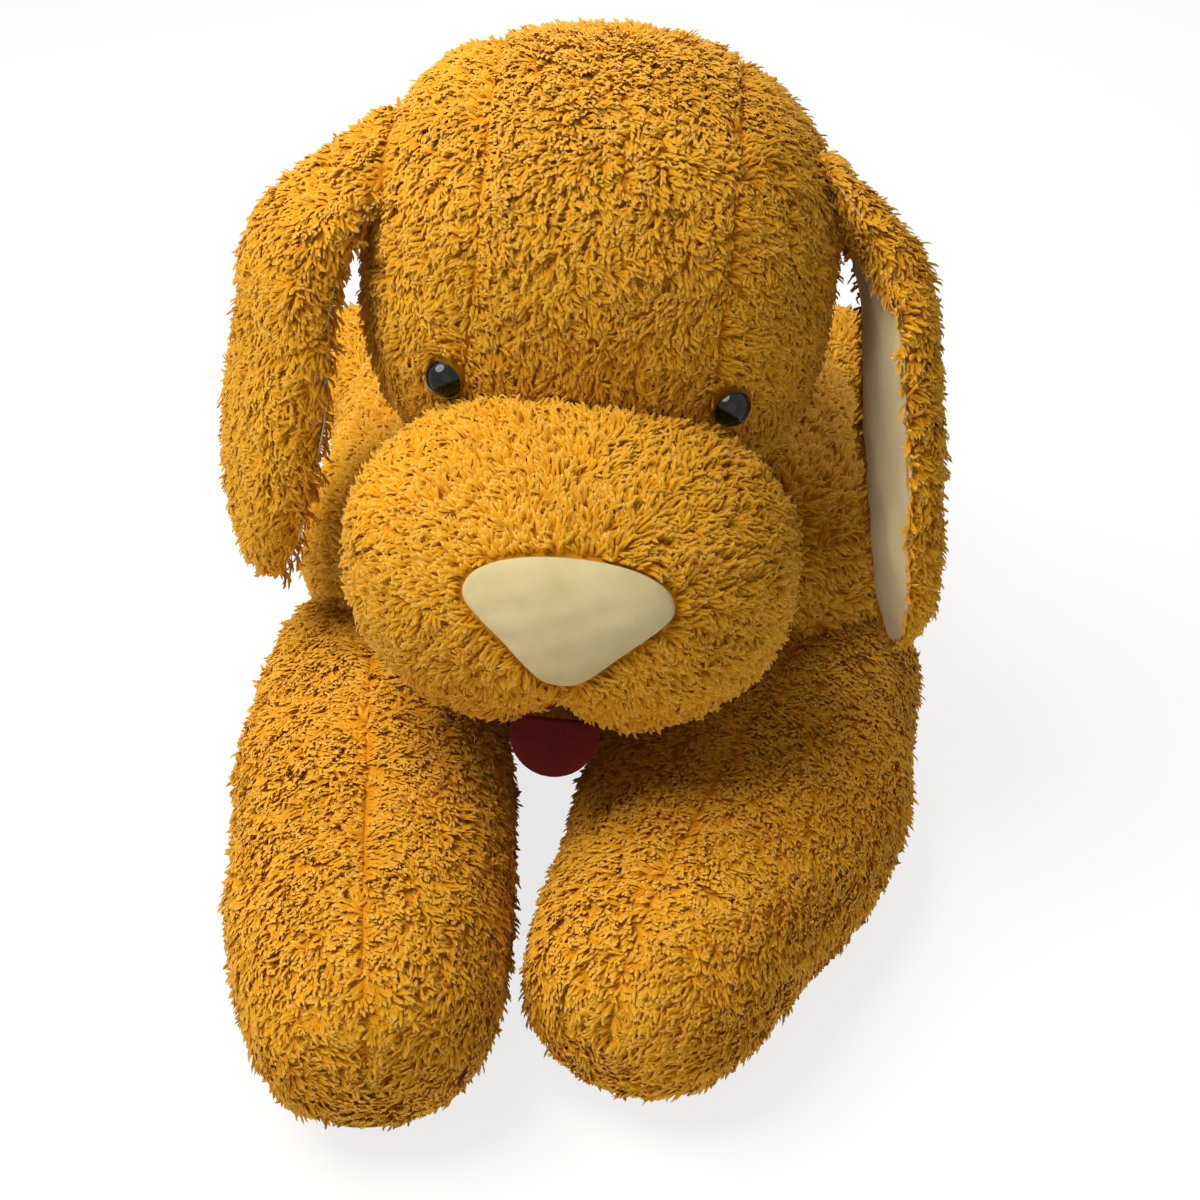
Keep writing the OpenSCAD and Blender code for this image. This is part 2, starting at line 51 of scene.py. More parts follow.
# Sizes of the sewn forms in millimetres
TORSO_LEN, SHOULDER_W, WAIST_W, HIP_W, BACK_H, BELLY_SINK = 400, 370, 346, 350, 214, 9
HEAD_W, HEAD_D, HEAD_H, HEAD_BACK, HEAD_Z = 252, 240, 246, 80, 309
HEAD_LEAN, HEAD_TILT, HEAD_YAW, CROWN_W = 5.5, 4, 2, 128
MUZZLE_W, MUZZLE_H, MUZZLE_REACH, MUZZLE_DROP = 228, 164, 225, 110
MUZZLE_ROOT, MUZZLE_TAPER, LIP_NOTCH = 52, 12, 14
NOSE_W, NOSE_H, NOSE_Z, NOSE_BACK, NOSE_TILT = 99, 60, 14, 8, 24
EYE_D, EYE_GAP, EYE_DROP, DOME_H, SHANK_D, SHANK_LEN = 20, 143, 14, 8, 5, 17
EAR_LEN, EAR_ROOT_W, EAR_W, EAR_TIP_W, EAR_PLUSH_T, EAR_LINING_T = 268, 84, 112, 96, 27, 5
EAR_ROOT = (98, -6, 80)
SHOULDER_SHARE = 0.95
FORELEG_LEN, FORELEG_ROOT_W, FRONT_PAW_W = 402, 148, 148
HINDLEG_LEN, HINDLEG_ROOT_W, HIND_PAW_W, HINDLEG_H = 300, 120, 124, 108
SHOULDER_GAP, HIP_GAP, HINDLEG_TURN, LEG_SINK, LEG_OVERLAP = 264, 200, 22, 8, 62
TAIL_LEN, TAIL_D, TAIL_TIP_D, TAIL_RISE, TAIL_MID_RISE, TAIL_TURN = 200, 54, 42, 44, 9, 5
CHEST_Y, SHOULDER_IN, HIP_IN, TAIL_IN, TAIL_OVERLAP = -200, 70, 92, 24, 30
SOLE_FLOOR, SOLE_W, SOLE_LEN, SOLE_BACK = 3.5, 62, 92, 9
# A floor that lies too deep to press a form flat
NO_FLOOR = -1200
LEFT, RIGHT = 1, -1
SIDES = {LEFT: "left", RIGHT: "right"}

# Depth of the pile over the cloth and thickness of the cloth
PILE = 5.5
CLOTH = 3.0
# Height of the stuffing's lumps, depth and half width of a sewn groove, and lowest cloth and lock
LUMP_WIDE, LUMP_FINE, GROOVE, GROOVE_W = 1.3, 0.6, 1.4, 7
LOW_CLOTH, LOW_LOCK = 0.6, 0.4
# The lining's depth under its outline and its thickness
LINING_IN, LINING_T = 2.0, 1.6
# Half width of the crease between the lips, in degrees
CREASE_W = 14
# Ends of a form are left out by this share, and the cells that a panel is sampled in
TINY, CELLS = 1e-6, 160
# Tries for each voxel of a panel, and the base of the voxels' numbers
TRIES, KEY_BASE = 4.5, 4096
# Shares of a form's length between which depth is measured, and the depth given beyond them
LOW_T, HIGH_T, OUTSIDE = 0.001, 0.999, -99.0
# The cloth's colour under the pile, painted dark as shade between the locks: place on the ramp of painted
# shade and on the tone ramp
SKIN_SHADE, SKIN_TONE = 0.3, 0.45


def shift(x, y, z):
    m = np.eye(4)
    m[:3, 3] = (x, y, z)
    return m


def turn(axis, degrees):
    c, s = math.cos(math.radians(degrees)), math.sin(math.radians(degrees))
    m = np.eye(4)
    i, j = {"x": (1, 2), "y": (2, 0), "z": (0, 1)}[axis]
    m[i, i], m[i, j], m[j, i], m[j, j] = c, -s, s, c
    return m


def moved(m, p):
    return p @ m[:3, :3].T + m[:3, 3]


def unit(v):
    return v / np.maximum(np.linalg.norm(v, axis=-1, keepdims=True), 1e-9)


def smooth(a, b, c, d, f):
    """The curve from b to c that runs on from a and towards d, at share f."""
    bend = (2 * a - 5 * b + 4 * c - d) * f * f
    return (2 * b + (c - a) * f + bend + (3 * b - a - 3 * c + d) * f ** 3) / 2


class Form:
    """A stuffed form lofted along its own y: superellipse sections that swell from two ends."""

    def __init__(self, length, stations, place, ends, power, floor=NO_FLOOR, crease=0):
        self.length, self.ends, self.power = length, ends, power
        self.floor, self.crease, self.place = floor, crease, place
        self.stations = np.array(stations, float)
        self.back = np.linalg.inv(place)

    def station(self, t):
        v, n = self.stations, len(self.stations) - 1
        i = np.minimum((t * n).astype(int), n - 1)
        f = (t * n - i)[..., None]
        a, b, c, d = v[np.maximum(i - 1, 0)], v[i], v[i + 1], v[np.minimum(i + 2, n)]
        return smooth(a, b, c, d, f)

    def swell(self, t):
        p = np.where(t < 0.5, self.ends[0], self.ends[1])
        return np.maximum(0, 1 - np.abs(2 * t - 1) ** p) ** (1 / p)

    def skin(self, t, a, inset):
        t = np.clip(t, 0, 1)
        s, r, e = self.station(t), self.swell(t), 2 / self.power
        notch = self.crease * np.exp(-(((a % 360) - 270) / CREASE_W) ** 2)
        c, n = np.cos(np.radians(a)), np.sin(np.radians(a))
        x = s[..., 2] + (s[..., 0] - inset) * r * np.sign(c) * np.abs(c) ** e
        z = s[..., 3] + (s[..., 1] - inset - notch) * r * np.sign(n) * np.abs(n) ** e
        y = inset + (self.length - 2 * inset) * t
        return np.stack([x, y, np.maximum(z, self.floor + inset)], -1)

    def tangents(self, t, a, inset):
        dt, da = 0.004, 1.0
        t = np.clip(t, 2 * dt, 1 - 2 * dt)
        along = (self.skin(t + dt, a, inset) - self.skin(t - dt, a, inset)) / (2 * dt)
        around = (self.skin(t, a + da, inset) - self.skin(t, a - da, inset)) / (2 * da)
        return along, around

    def depth(self, p):
        """How far world points in millimetres lie inside the form, measured across it."""
        q = moved(self.back, p)
        t = q[..., 1] / self.length
        inside = (t > LOW_T) & (t < HIGH_T)
        t = np.clip(t, LOW_T, HIGH_T)
        s, r = self.station(t), self.swell(t)
        x, z = q[..., 0] - s[..., 2], q[..., 2] - s[..., 3]
        share = (np.abs(x) / (s[..., 0] * r)) ** self.power
        share = (share + (np.abs(z) / (s[..., 1] * r)) ** self.power) ** (1 / self.power)
        reach = np.hypot(x, z)
        away = reach / np.maximum(share, 1e-6) - reach
        ends = np.minimum(q[..., 1], self.length - q[..., 1])
        return np.where(inside, np.minimum(away, np.maximum(ends, 0.5 * away)), OUTSIDE)


def level(width, height, floor_sink):
    return [width / 2, (height + floor_sink) / 2, 0, (height - floor_sink) / 2]


def leg_form(length, root_w, mid_w, paw_w, height, place):
    widths = (root_w, root_w, mid_w, paw_w, paw_w)
    stations = [level(w, height, LEG_SINK) for w in widths]
    return Form(length, stations, place, ends=(2.7, 3.4), power=2.2, floor=SOLE_FLOOR)


HEAD_AT = (0, CHEST_Y + HEAD_BACK, HEAD_Z)
head_place = shift(*HEAD_AT) @ turn("z", -HEAD_YAW) @ turn("y", HEAD_LEAN) @ turn("x", -HEAD_TILT)
torso = Form(
    TORSO_LEN,
    [level(w, BACK_H, BELLY_SINK) for w in (SHOULDER_W, SHOULDER_W, WAIST_W, HIP_W, HIP_W)],
    shift(0, CHEST_Y, 0),
    ends=(3, 2.6), power=2.3, floor=0)
head = Form(
    HEAD_W,
    [[HEAD_D / 2, HEAD_H / 2, 0, 0]] * 3,
    head_place @ turn("z", -90) @ shift(0, -HEAD_W / 2, 0),
    ends=(2.5, 2.5), power=2.15)
muzzle = Form(
    MUZZLE_REACH - MUZZLE_ROOT,
    [[MUZZLE_W / 2, MUZZLE_H / 2, 0, 0]] * 2
    + [[MUZZLE_W / 2 - MUZZLE_TAPER, MUZZLE_H / 2 - MUZZLE_TAPER, 0, 0]],
    head_place @ shift(0, -MUZZLE_ROOT, -MUZZLE_DROP) @ turn("z", 180),
    ends=(3, 2.3), power=2.3, crease=LIP_NOTCH)

# Arch of each ear in millimetres, and its lean, twist and turn to the front in degrees
EAR_SHAPE = {LEFT: (33, 10, 4, 21), RIGHT: (52, 6, -28, 0)}


def ear_form(side, thickness, power):
    arch, lean, twist, forward = EAR_SHAPE[side]
    mid_w = (EAR_ROOT_W + EAR_W) / 2
    place = head_place @ shift(side * EAR_ROOT[0], EAR_ROOT[1], EAR_ROOT[2])
    place = place @ turn("x", -forward) @ turn("z", side * twist) @ turn("y", -side * lean)
    place = place @ turn("z", -side * 90) @ turn("x", -90)
    stations = [
        [EAR_ROOT_W / 2, thickness, 0, 0],
        [mid_w / 2, thickness, 0, arch * SHOULDER_SHARE],
        [EAR_W / 2, thickness, 0, arch],
        [EAR_W / 2, thickness, 0, arch],
        [EAR_TIP_W / 2, thickness, 0, arch]]
    return Form(EAR_LEN, stations, place, ends=(2.6, 2.6), power=power)


# Width and height of each foreleg's middle in millimetres, and its outward turn in degrees
FORELEG_SHAPE = {LEFT: (178, 114, 22.5), RIGHT: (156, 124, 4.5)}


def foreleg_form(side):
    width, height, angle = FORELEG_SHAPE[side]
    place = shift(side * SHOULDER_GAP / 2, CHEST_Y + SHOULDER_IN, 0)
    place = place @ turn("z", 180 - side * angle) @ shift(0, -LEG_OVERLAP, 0)
    return leg_form(FORELEG_LEN, FORELEG_ROOT_W, width, FRONT_PAW_W, height, place)


def hindleg_form(side):
    place = shift(side * HIP_GAP / 2, TORSO_LEN / 2 - HIP_IN, 0)
    place = place @ turn("z", -side * HINDLEG_TURN) @ shift(0, -LEG_OVERLAP, 0)
    return leg_form(HINDLEG_LEN, HINDLEG_ROOT_W, HINDLEG_ROOT_W, HIND_PAW_W, HINDLEG_H, place)


tail = Form(
    TAIL_LEN,
    [[TAIL_D / 2, TAIL_D / 2, 0, TAIL_D / 2 + TAIL_RISE],
     [TAIL_D / 2, TAIL_D / 2, 0, TAIL_D / 2 + TAIL_MID_RISE],
     [TAIL_TIP_D / 2, TAIL_TIP_D / 2, 0, TAIL_TIP_D / 2 - LEG_SINK]],
    shift(0, TORSO_LEN / 2 - TAIL_IN, 0) @ turn("z", TAIL_TURN) @ shift(0, -TAIL_OVERLAP, 0),
    ends=(2.6, 2.6), power=2, floor=0)
forelegs = {s: foreleg_form(s) for s in SIDES}
hindlegs = {s: hindleg_form(s) for s in SIDES}
ears = {s: ear_form(s, EAR_PLUSH_T, 3) for s in SIDES}
linings = {s: ear_form(s, EAR_LINING_T, 2) for s in SIDES}


class Swirl:
    """A smooth random field made of a few waves, from -1 to 1."""

    def __init__(self, wavelength, waves=7):
        self.k = unit(rng.normal(size=(waves, 3))) * 2 * math.pi / wavelength
        self.k *= rng.uniform(0.7, 1.4, (waves, 1))
        self.phase = rng.uniform(0, 2 * math.pi, waves)

    def __call__(self, p):
        return np.sin(p @ self.k.T + self.phase).sum(-1) / math.sqrt(len(self.phase)) / 1.2


lump_wide, lump_fine = Swirl(75), Swirl(26)
sway_wide = Swirl(46)
# Drawn and not used, so that the later fields keep their draws
Swirl(15)
long_patch, tone_patch = Swirl(22), Swirl(60)
warp_x, warp_y, warp_z = Swirl(30), Swirl(30), Swirl(30)


def seam_gap(seams, t, a, along, around):
    """Distance in millimetres to the nearest seam, and the direction away from it."""
    best = np.full(t.shape, 1e3)
    away = np.zeros(t.shape + (3,))
    for kind, at in seams:
        if kind == "a":
            off = (a - at + 180) % 360 - 180
            d, way = off * np.linalg.norm(around, axis=-1), unit(around)
        else:
            off = t - at
            d, way = off * np.linalg.norm(along, axis=-1), unit(along)
        near = np.abs(d) < best
        best = np.where(near, np.abs(d), best)
        away = np.where(near[..., None], way * np.sign(d)[..., None], away)
    return best, away


def surface(form, seams, t, a, inset):
    """World points, normals and tangents on the cloth, with lumps and sewn grooves."""
    p = form.skin(t, a, inset)
    along, around = form.tangents(t, a, inset)
    n = unit(np.cross(along, around))
    gap, away = seam_gap(seams, t, a, along, around)
    w = moved(form.place, p)
    spin = form.place[:3, :3].T
    n, along, around, away = n @ spin, along @ spin, around @ spin, away @ spin
    groove = GROOVE * np.exp(-((gap / GROOVE_W) ** 2))
    lump = LUMP_WIDE * lump_wide(w) + LUMP_FINE * lump_fine(w) - groove
    w = w + n * lump[..., None]
    w[..., 2] = np.maximum(w[..., 2], LOW_CLOTH)
    return w, n, unit(along), unit(around), gap, away


def mesh_object(name, verts, quads, tris, uv, values, material):
    """A smooth mesh object from arrays; verts are in millimetres, values are point attributes."""
    mesh = bpy.data.meshes.new(name)
    mesh.vertices.add(len(verts))
    mesh.vertices.foreach_set("co", (verts * MM).astype(np.float32).ravel())
    corners = np.concatenate([np.ravel(quads), np.ravel(tris)]).astype(np.int32)
    n4, n3 = len(quads), len(tris)
    starts = np.concatenate([np.arange(n4) * 4, n4 * 4 + np.arange(n3) * 3]).astype(np.int32)
    mesh.loops.add(len(corners))
    mesh.loops.foreach_set("vertex_index", corners)
    mesh.polygons.add(n4 + n3)
    mesh.polygons.foreach_set("loop_start", starts)
    mesh.polygons.foreach_set("use_smooth", np.ones(n4 + n3, bool))
    mesh.update(calc_edges=True)
    layer = mesh.uv_layers.new(name="OFBake")
    layer.data.foreach_set("uv", uv[corners].astype(np.float32).ravel())
    for key, value in values.items():
        mesh.attributes.new(key, "FLOAT", "POINT")
        mesh.attributes[key].data.foreach_set("value", value.astype(np.float32))
    mesh.materials.append(material)
    obj = bpy.data.objects.new(name, mesh)
    bpy.context.scene.collection.objects.link(obj)
    return obj


NO_TRIS = np.zeros((0, 3), int)


def plate(outer, inner, wrap=False):
    """Quads of a closed plate between two grids of points, given as (rows, columns, 3)."""
    rows, cols = outer.shape[:2]
    ids = np.arange(rows * cols).reshape(rows, cols)
    if wrap:
        ids = np.concatenate([ids, ids[:, :1]], 1)
    low = ids + rows * cols
    faces = [
        np.stack([ids[:-1, :-1], ids[1:, :-1], ids[1:, 1:], ids[:-1, 1:]], -1).reshape(-1, 4),
        np.stack([low[:-1, :-1], low[:-1, 1:], low[1:, 1:], low[1:, :-1]], -1).reshape(-1, 4)]
    edges = [(ids[0], low[0], False), (ids[-1], low[-1], True)]
    if not wrap:
        edges += [(ids[:, 0], low[:, 0], True), (ids[:, -1], low[:, -1], False)]
    for top, bottom, flip in edges:
        q = np.stack([top[:-1], top[1:], bottom[1:], bottom[:-1]], -1)
        faces.append(q[:, ::-1] if flip else q)
    verts = np.concatenate([outer.reshape(-1, 3), inner.reshape(-1, 3)])
    return verts, np.concatenate(faces)


def shares(low, high, count):
    """Even shares of a range that crowd towards an end of the form."""
    s = np.linspace(0, 1, count)
    crowd_low, crowd_high = low <= 1e-5, high >= 1 - 1e-5
    if crowd_low and crowd_high:
        s = (1 - np.cos(math.pi * s)) / 2
    elif crowd_low:
        s = 1 - np.cos(math.pi / 2 * s)
    elif crowd_high:
        s = np.sin(math.pi / 2 * s)
    return low + (high - low) * s


def grid_uv(rows, cols):
    v, u = np.meshgrid(np.linspace(0.02, 0.98, rows), np.linspace(0.01, 0.49, cols), indexing="ij")
    top = np.stack([u, v], -1).reshape(-1, 2)
    return np.concatenate([top, top + [0.5, 0]])


def skin_piece(name, form, seams, span, material, size=(44, 44), inset=PILE, cloth=CLOTH):
    """The cloth of one sewn panel as a closed plate."""
    t0, t1, a0, a1 = span
    wrap = a1 - a0 == 360
    rows, cols = size
    t = shares(max(t0, TINY), min(t1, 1 - TINY), rows)
    a = np.linspace(a0, a1, cols + 1)[:-1] if wrap else np.linspace(a0, a1, cols)
    tt, aa = np.meshgrid(t, a, indexing="ij")
    outer = surface(form, seams, tt, aa, inset)[0]
    inner = surface(form, seams, tt, aa, inset + cloth)[0]
    verts, quads = plate(outer, inner, wrap)
    uv = grid_uv(rows, cols)
    # The cloth is painted dark, as shade between the locks
    colour = {"shade": np.full(len(verts), SKIN_SHADE), "tone": np.full(len(verts), SKIN_TONE)}
    return mesh_object(name, verts, quads, NO_TRIS, uv, colour, material)


def voxel_keys(points, size):
    """One number for each point, the same for points in one voxel."""
    keys = np.floor(points / size).astype(np.int64)
    return (keys[:, 0] * KEY_BASE + keys[:, 1]) * KEY_BASE + keys[:, 2]


def sample(form, span, voxel):
    """Scattered places on a panel, about one for each voxel that the surface passes through."""
    t0, t1, a0, a1 = span
    te = shares(max(t0, TINY), min(t1, 1 - TINY), CELLS + 1)
    ae = np.linspace(a0, a1, CELLS + 1)
    corner = form.skin(*np.meshgrid(te, ae, indexing="ij"), PILE)
    du = corner[1:, :-1] - corner[:-1, :-1]
    dv = corner[:-1, 1:] - corner[:-1, :-1]
    area = np.linalg.norm(np.cross(du, dv), axis=-1).ravel()
    count = int(TRIES * area.sum() / voxel ** 2)
    pick = rng.choice(area.size, count, p=area / area.sum())
    i, j = pick // CELLS, pick % CELLS
    t = te[i] + (te[i + 1] - te[i]) * rng.random(count)
    a = ae[j] + (ae[j + 1] - ae[j]) * rng.random(count)
    place = moved(form.place, form.skin(t, a, PILE))
    first = np.unique(voxel_keys(place, voxel), return_index=True)[1]
    return t[first], a[first]


# A lock of the pile: shares along it, its half width there and the angle of its rings
RING_AT = np.array([0.0, 0.4, 0.82])
RING_R = np.array([0.75, 1.0, 0.9])
RING_ANGLES = np.radians([90, 210, 330])
# Painted shade on a lock's underside: its two lower edges keep this share of the ridge's paleness
RING_SHADE = np.array([1.0, 0.8, 0.8])
# Where a lock's tip ends, how flat a lock is, and how far its underside's shading turns down
TIP_AT, LOCK_FLAT, UNDER_TURN = 1.04, 0.55, 0.5
# Share of the cloth's own facing in a lock's shading
SOFT = 0.65
# How far a tuft's outline strays, as a share of its size
TUFT_WARP = 0.35


def locks(name, root, normal, flow, length, width, curl, lean, tone):
    """Curved tapering locks as one mesh, three-sided with a blunt tip and soft shading."""
    n, rings, sides = len(root), len(RING_AT), len(RING_ANGLES)
    side = unit(np.cross(normal, flow))
    steps = np.concatenate([RING_AT, [TIP_AT]])
    verts = np.zeros((n, rings * sides + 1, 3))
    facing, under = np.zeros_like(verts), np.zeros_like(verts)
    centre, last = root.copy(), 0.0
    for k, at in enumerate(steps):
        mid = (at + last) / 2
        tilt = lean[0] + (lean[1] - lean[0]) * mid
        bend = curl * mid
        ahead = flow * np.cos(bend)[:, None] + side * np.sin(bend)[:, None]
        way = normal * np.cos(tilt)[:, None] + ahead * np.sin(tilt)[:, None]
        centre = centre + way * ((at - last) * length)[:, None]
        last = at
        if k == rings:
            verts[:, -1] = centre
            facing[:, -1] = unit(SOFT * normal + (1 - SOFT) * way)
            under[:, -1] = way
            continue
        across = unit(np.cross(way, normal * np.sin(tilt)[:, None] - ahead * np.cos(tilt)[:, None]))
        up = unit(np.cross(across, way))
        for m, angle in enumerate(RING_ANGLES):
            off = across * math.cos(angle) + up * LOCK_FLAT * math.sin(angle)
            verts[:, k * sides + m] = centre + off * (width * RING_R[k])[:, None]
            facing[:, k * sides + m] = unit(SOFT * normal + (1 - SOFT) * unit(off))
            under[:, k * sides + m] = unit(way - UNDER_TURN * up)
    verts[..., 2] = np.maximum(verts[..., 2], LOW_LOCK)
    per = rings * sides + 1
    base = np.arange(n)[:, None, None] * per
    ring_quads = []
    for k in range(rings - 1):
        for m in range(sides):
            w = (m + 1) % sides
            ring_quads.append([k * sides + m, (k + 1) * sides + m, (k + 1) * sides + w, k * sides + w])
    tip = per - 1
    top = (rings - 1) * sides
    tip_tris = [[top + (m + 1) % sides, top + m, tip] for m in range(sides)]
    quads = (base + np.array(ring_quads)[None]).reshape(-1, 4)
    tris = (base + np.array(tip_tris + [[0, 1, 2]])[None]).reshape(-1, 3)
    # Painted shade along each lock: dark at the root, pale at the tip, darker on the two lower edges
    along = np.concatenate([np.outer(RING_AT, RING_SHADE).ravel(), [1.0]])
    shade = np.tile(along, n)
    tones = np.repeat(tone, per)
    uv = np.stack([0.02 + 0.96 * tones, 0.02 + 0.96 * shade], -1)
    colour = {"shade": shade, "tone": tones}
    obj = mesh_object(name, verts.reshape(-1, 3), quads, tris, uv, colour, plush)
    corners = np.concatenate([quads.ravel(), tris.ravel()])
    below = np.concatenate([
        np.tile(np.repeat([m == 1 for _ in range(rings - 1) for m in range(sides)], 4), n),
        np.tile(np.repeat([False, True, False, True], 3), n)])
    shading = np.where(below[:, None], under.reshape(-1, 3)[corners], facing.reshape(-1, 3)[corners])
    obj.data.normals_split_custom_set(shading)
    return obj


def clumps(root, cell):
    """The tuft that each root belongs to: its number, and the middle of the tuft."""
    warp = np.stack([warp_x(root), warp_y(root), warp_z(root)], -1) * TUFT_WARP * cell
    tuft = np.unique(voxel_keys(root + warp, cell), return_inverse=True)[1].ravel()
    count = np.bincount(tuft)
    middle = np.stack([np.bincount(tuft, root[:, i]) / count for i in range(3)], -1)
    return tuft, len(count), middle


# Materials
def new_material(name):
    mat = bpy.data.materials.new(name)
    mat.use_nodes = True
    return mat, mat.node_tree.nodes, mat.node_tree.links, mat.node_tree.nodes["Principled BSDF"]


def ramp(nodes, stops):
    node = nodes.new("ShaderNodeValToRGB")
    while len(node.color_ramp.elements) < len(stops):
        node.color_ramp.elements.new(0.5)
    for element, (at, colour) in zip(node.color_ramp.elements, stops):
        element.position = at
        element.color = (*colour, 1)
    return node


def attribute(nodes, name):
    node = nodes.new("ShaderNodeAttribute")
    node.attribute_name = name
    return node.outputs["Fac"]


def bump(nodes, links, shader, scale, strength, distance, detail=3.0):
    coords = nodes.new("ShaderNodeTexCoord")
    noise = nodes.new("ShaderNodeTexNoise")
    noise.inputs["Scale"].default_value = scale
    noise.inputs["Detail"].default_value = detail
    node = nodes.new("ShaderNodeBump")
    node.inputs["Strength"].default_value = strength
    node.inputs["Distance"].default_value = distance
    links.new(coords.outputs["Object"], noise.inputs["Vector"])
    links.new(noise.outputs["Fac"], node.inputs["Height"])
    links.new(node.outputs["Normal"], shader.inputs["Normal"])
    return noise


def multiply(nodes, links, a, b):
    node = nodes.new("ShaderNodeMix")
    node.data_type = "RGBA"
    node.blend_type = "MULTIPLY"
    node.inputs["Factor"].default_value = 1.0
    links.new(a, node.inputs["A"])
    links.new(b, node.inputs["B"])
    return node.outputs["Result"]


# Colour of a lock from its root to its tip, with painted shade that darkens and reddens it towards the root
# where shade falls deep in the pile, and from a dull lock to a bright one
PLUSH_PAINTED_SHADE = [(0.0, (0.58, 0.205, 0.002)), (0.7, (0.68, 0.335, 0.013)), (1.0, (0.78, 0.495, 0.130))]
PLUSH_TONE = [(0.0, (0.78, 0.72, 0.60)), (0.5, (0.95, 0.93, 0.89)), (1.0, (1.0, 1.0, 1.0))]


def plush_material():
    mat, nodes, links, shader = new_material("golden_plush")
    # The ramp of painted shade, read from each lock's shade attribute
    depth = ramp(nodes, PLUSH_PAINTED_SHADE)
    links.new(attribute(nodes, "shade"), depth.inputs["Fac"])
    tone = ramp(nodes, PLUSH_TONE)
    links.new(attribute(nodes, "tone"), tone.inputs["Fac"])
    colour = multiply(nodes, links, depth.outputs["Color"], tone.outputs["Color"])
    links.new(colour, shader.inputs["Base Color"])
    shader.inputs["Roughness"].default_value = 0.78
    shader.inputs["Specular IOR Level"].default_value = 0.1
    shader.inputs["Sheen Weight"].default_value = 0.12
    shader.inputs["Sheen Roughness"].default_value = 0.45
    shader.inputs["Sheen Tint"].default_value = (1.0, 0.72, 0.32, 1)
    bump(nodes, links, shader, scale=900, strength=0.35, distance=0.0006)
    return mat


def cloth_material(name, dark, light, scale, strength, roughness, sheen):
    mat, nodes, links, shader = new_material(name)
    coords = nodes.new("ShaderNodeTexCoord")
    noise = nodes.new("ShaderNodeTexNoise")
    noise.inputs["Scale"].default_value = 38
    noise.inputs["Detail"].default_value = 6
    tint = ramp(nodes, [(0.3, dark), (0.7, light)])
    links.new(coords.outputs["Object"], noise.inputs["Vector"])
    links.new(noise.outputs["Fac"], tint.inputs["Fac"])
    links.new(tint.outputs["Color"], shader.inputs["Base Color"])
    shader.inputs["Roughness"].default_value = roughness
    shader.inputs["Specular IOR Level"].default_value = 0.2
    shader.inputs["Sheen Weight"].default_value = sheen
    shader.inputs["Sheen Roughness"].default_value = 0.5
    bump(nodes, links, shader, scale, strength, distance=0.0008, detail=5.0)
    return mat


def plastic_material(name, colour, roughness):
    mat, nodes, links, shader = new_material(name)
    noise_to_rough = nodes.new("ShaderNodeMapRange")
    noise_to_rough.inputs["To Min"].default_value = roughness
    noise_to_rough.inputs["To Max"].default_value = roughness + 0.06
    shader.inputs["Base Color"].default_value = (*colour, 1)
    shader.inputs["Specular IOR Level"].default_value = 0.3
    noise = bump(nodes, links, shader, scale=120, strength=0.02, distance=0.0002)
    links.new(noise.outputs["Fac"], noise_to_rough.inputs["Value"])
    links.new(noise_to_rough.outputs["Result"], shader.inputs["Roughness"])
    return mat


plush = plush_material()
velour = cloth_material(
    "cream_velour", dark=(0.51, 0.425, 0.215), light=(0.59, 0.50, 0.28),
    scale=1500, strength=0.5, roughness=0.85, sheen=0.15)
# The tongue's red felt, painted dark as if in shade under the muzzle
felt = cloth_material(
    "red_felt_painted_shade", dark=(0.070, 0.003, 0.003), light=(0.115, 0.006, 0.005),
    scale=900, strength=0.8, roughness=0.95, sheen=0.05)
eye_black = plastic_material("eye_black", (0.002, 0.002, 0.002), roughness=0.06)
washer_white = plastic_material("washer_white", (0.78, 0.78, 0.75), roughness=0.4)
wadding = cloth_material(
    "wadding", dark=(0.75, 0.75, 0.72), light=(0.85, 0.85, 0.82),
    scale=300, strength=0.9, roughness=1.0, sheen=0.1)

# Places that keep the pile off: eyes and nose
eye_t = {LEFT: 0.5 + EYE_GAP / 2 / HEAD_W, RIGHT: 0.5 - EYE_GAP / 2 / HEAD_W}
eye_at, eye_way = {}, {}
for s in SIDES:
    spot = np.array([eye_t[s]]), np.array([float(-EYE_DROP)])
    eye_at[s] = moved(head.place, head.skin(*spot, 0.0))[0]
    eye_way[s] = (unit(np.cross(*head.tangents(*spot, 0.0))) @ head.place[:3, :3].T)[0]
nose_at = moved(head_place, np.array([0.0, -MUZZLE_REACH + NOSE_BACK, NOSE_Z - MUZZLE_DROP]))
nose_turn = (head_place @ turn("x", 90 - NOSE_TILT))[:3, :3]
# Half of the nose patch's outline from the top round to the tip, as shares of its half size
NOSE_HALF = np.array([
    [0.0, 1.0], [0.35, 0.97], [0.66, 0.86], [0.89, 0.67], [0.985, 0.42], [0.955, 0.20],
    [0.80, -0.06], [0.55, -0.41], [0.32, -0.76], [0.16, -0.95], [0.0, -1.0]])


def nose_outline(per):
    """Points round the nose patch in its own plane, a smooth closed curve."""
    ring = np.concatenate([NOSE_HALF[:-1], NOSE_HALF[:0:-1] * [-1, 1]]) * [NOSE_W / 2, NOSE_H / 2]
    f = (np.arange(per) / per)[:, None, None]
    a, b, c, d = (np.roll(ring, k, 0)[None] for k in (1, 0, -1, -2))
    return smooth(a, b, c, d, f).transpose(1, 0, 2).reshape(-1, 2)


nose_ring = nose_outline(6)


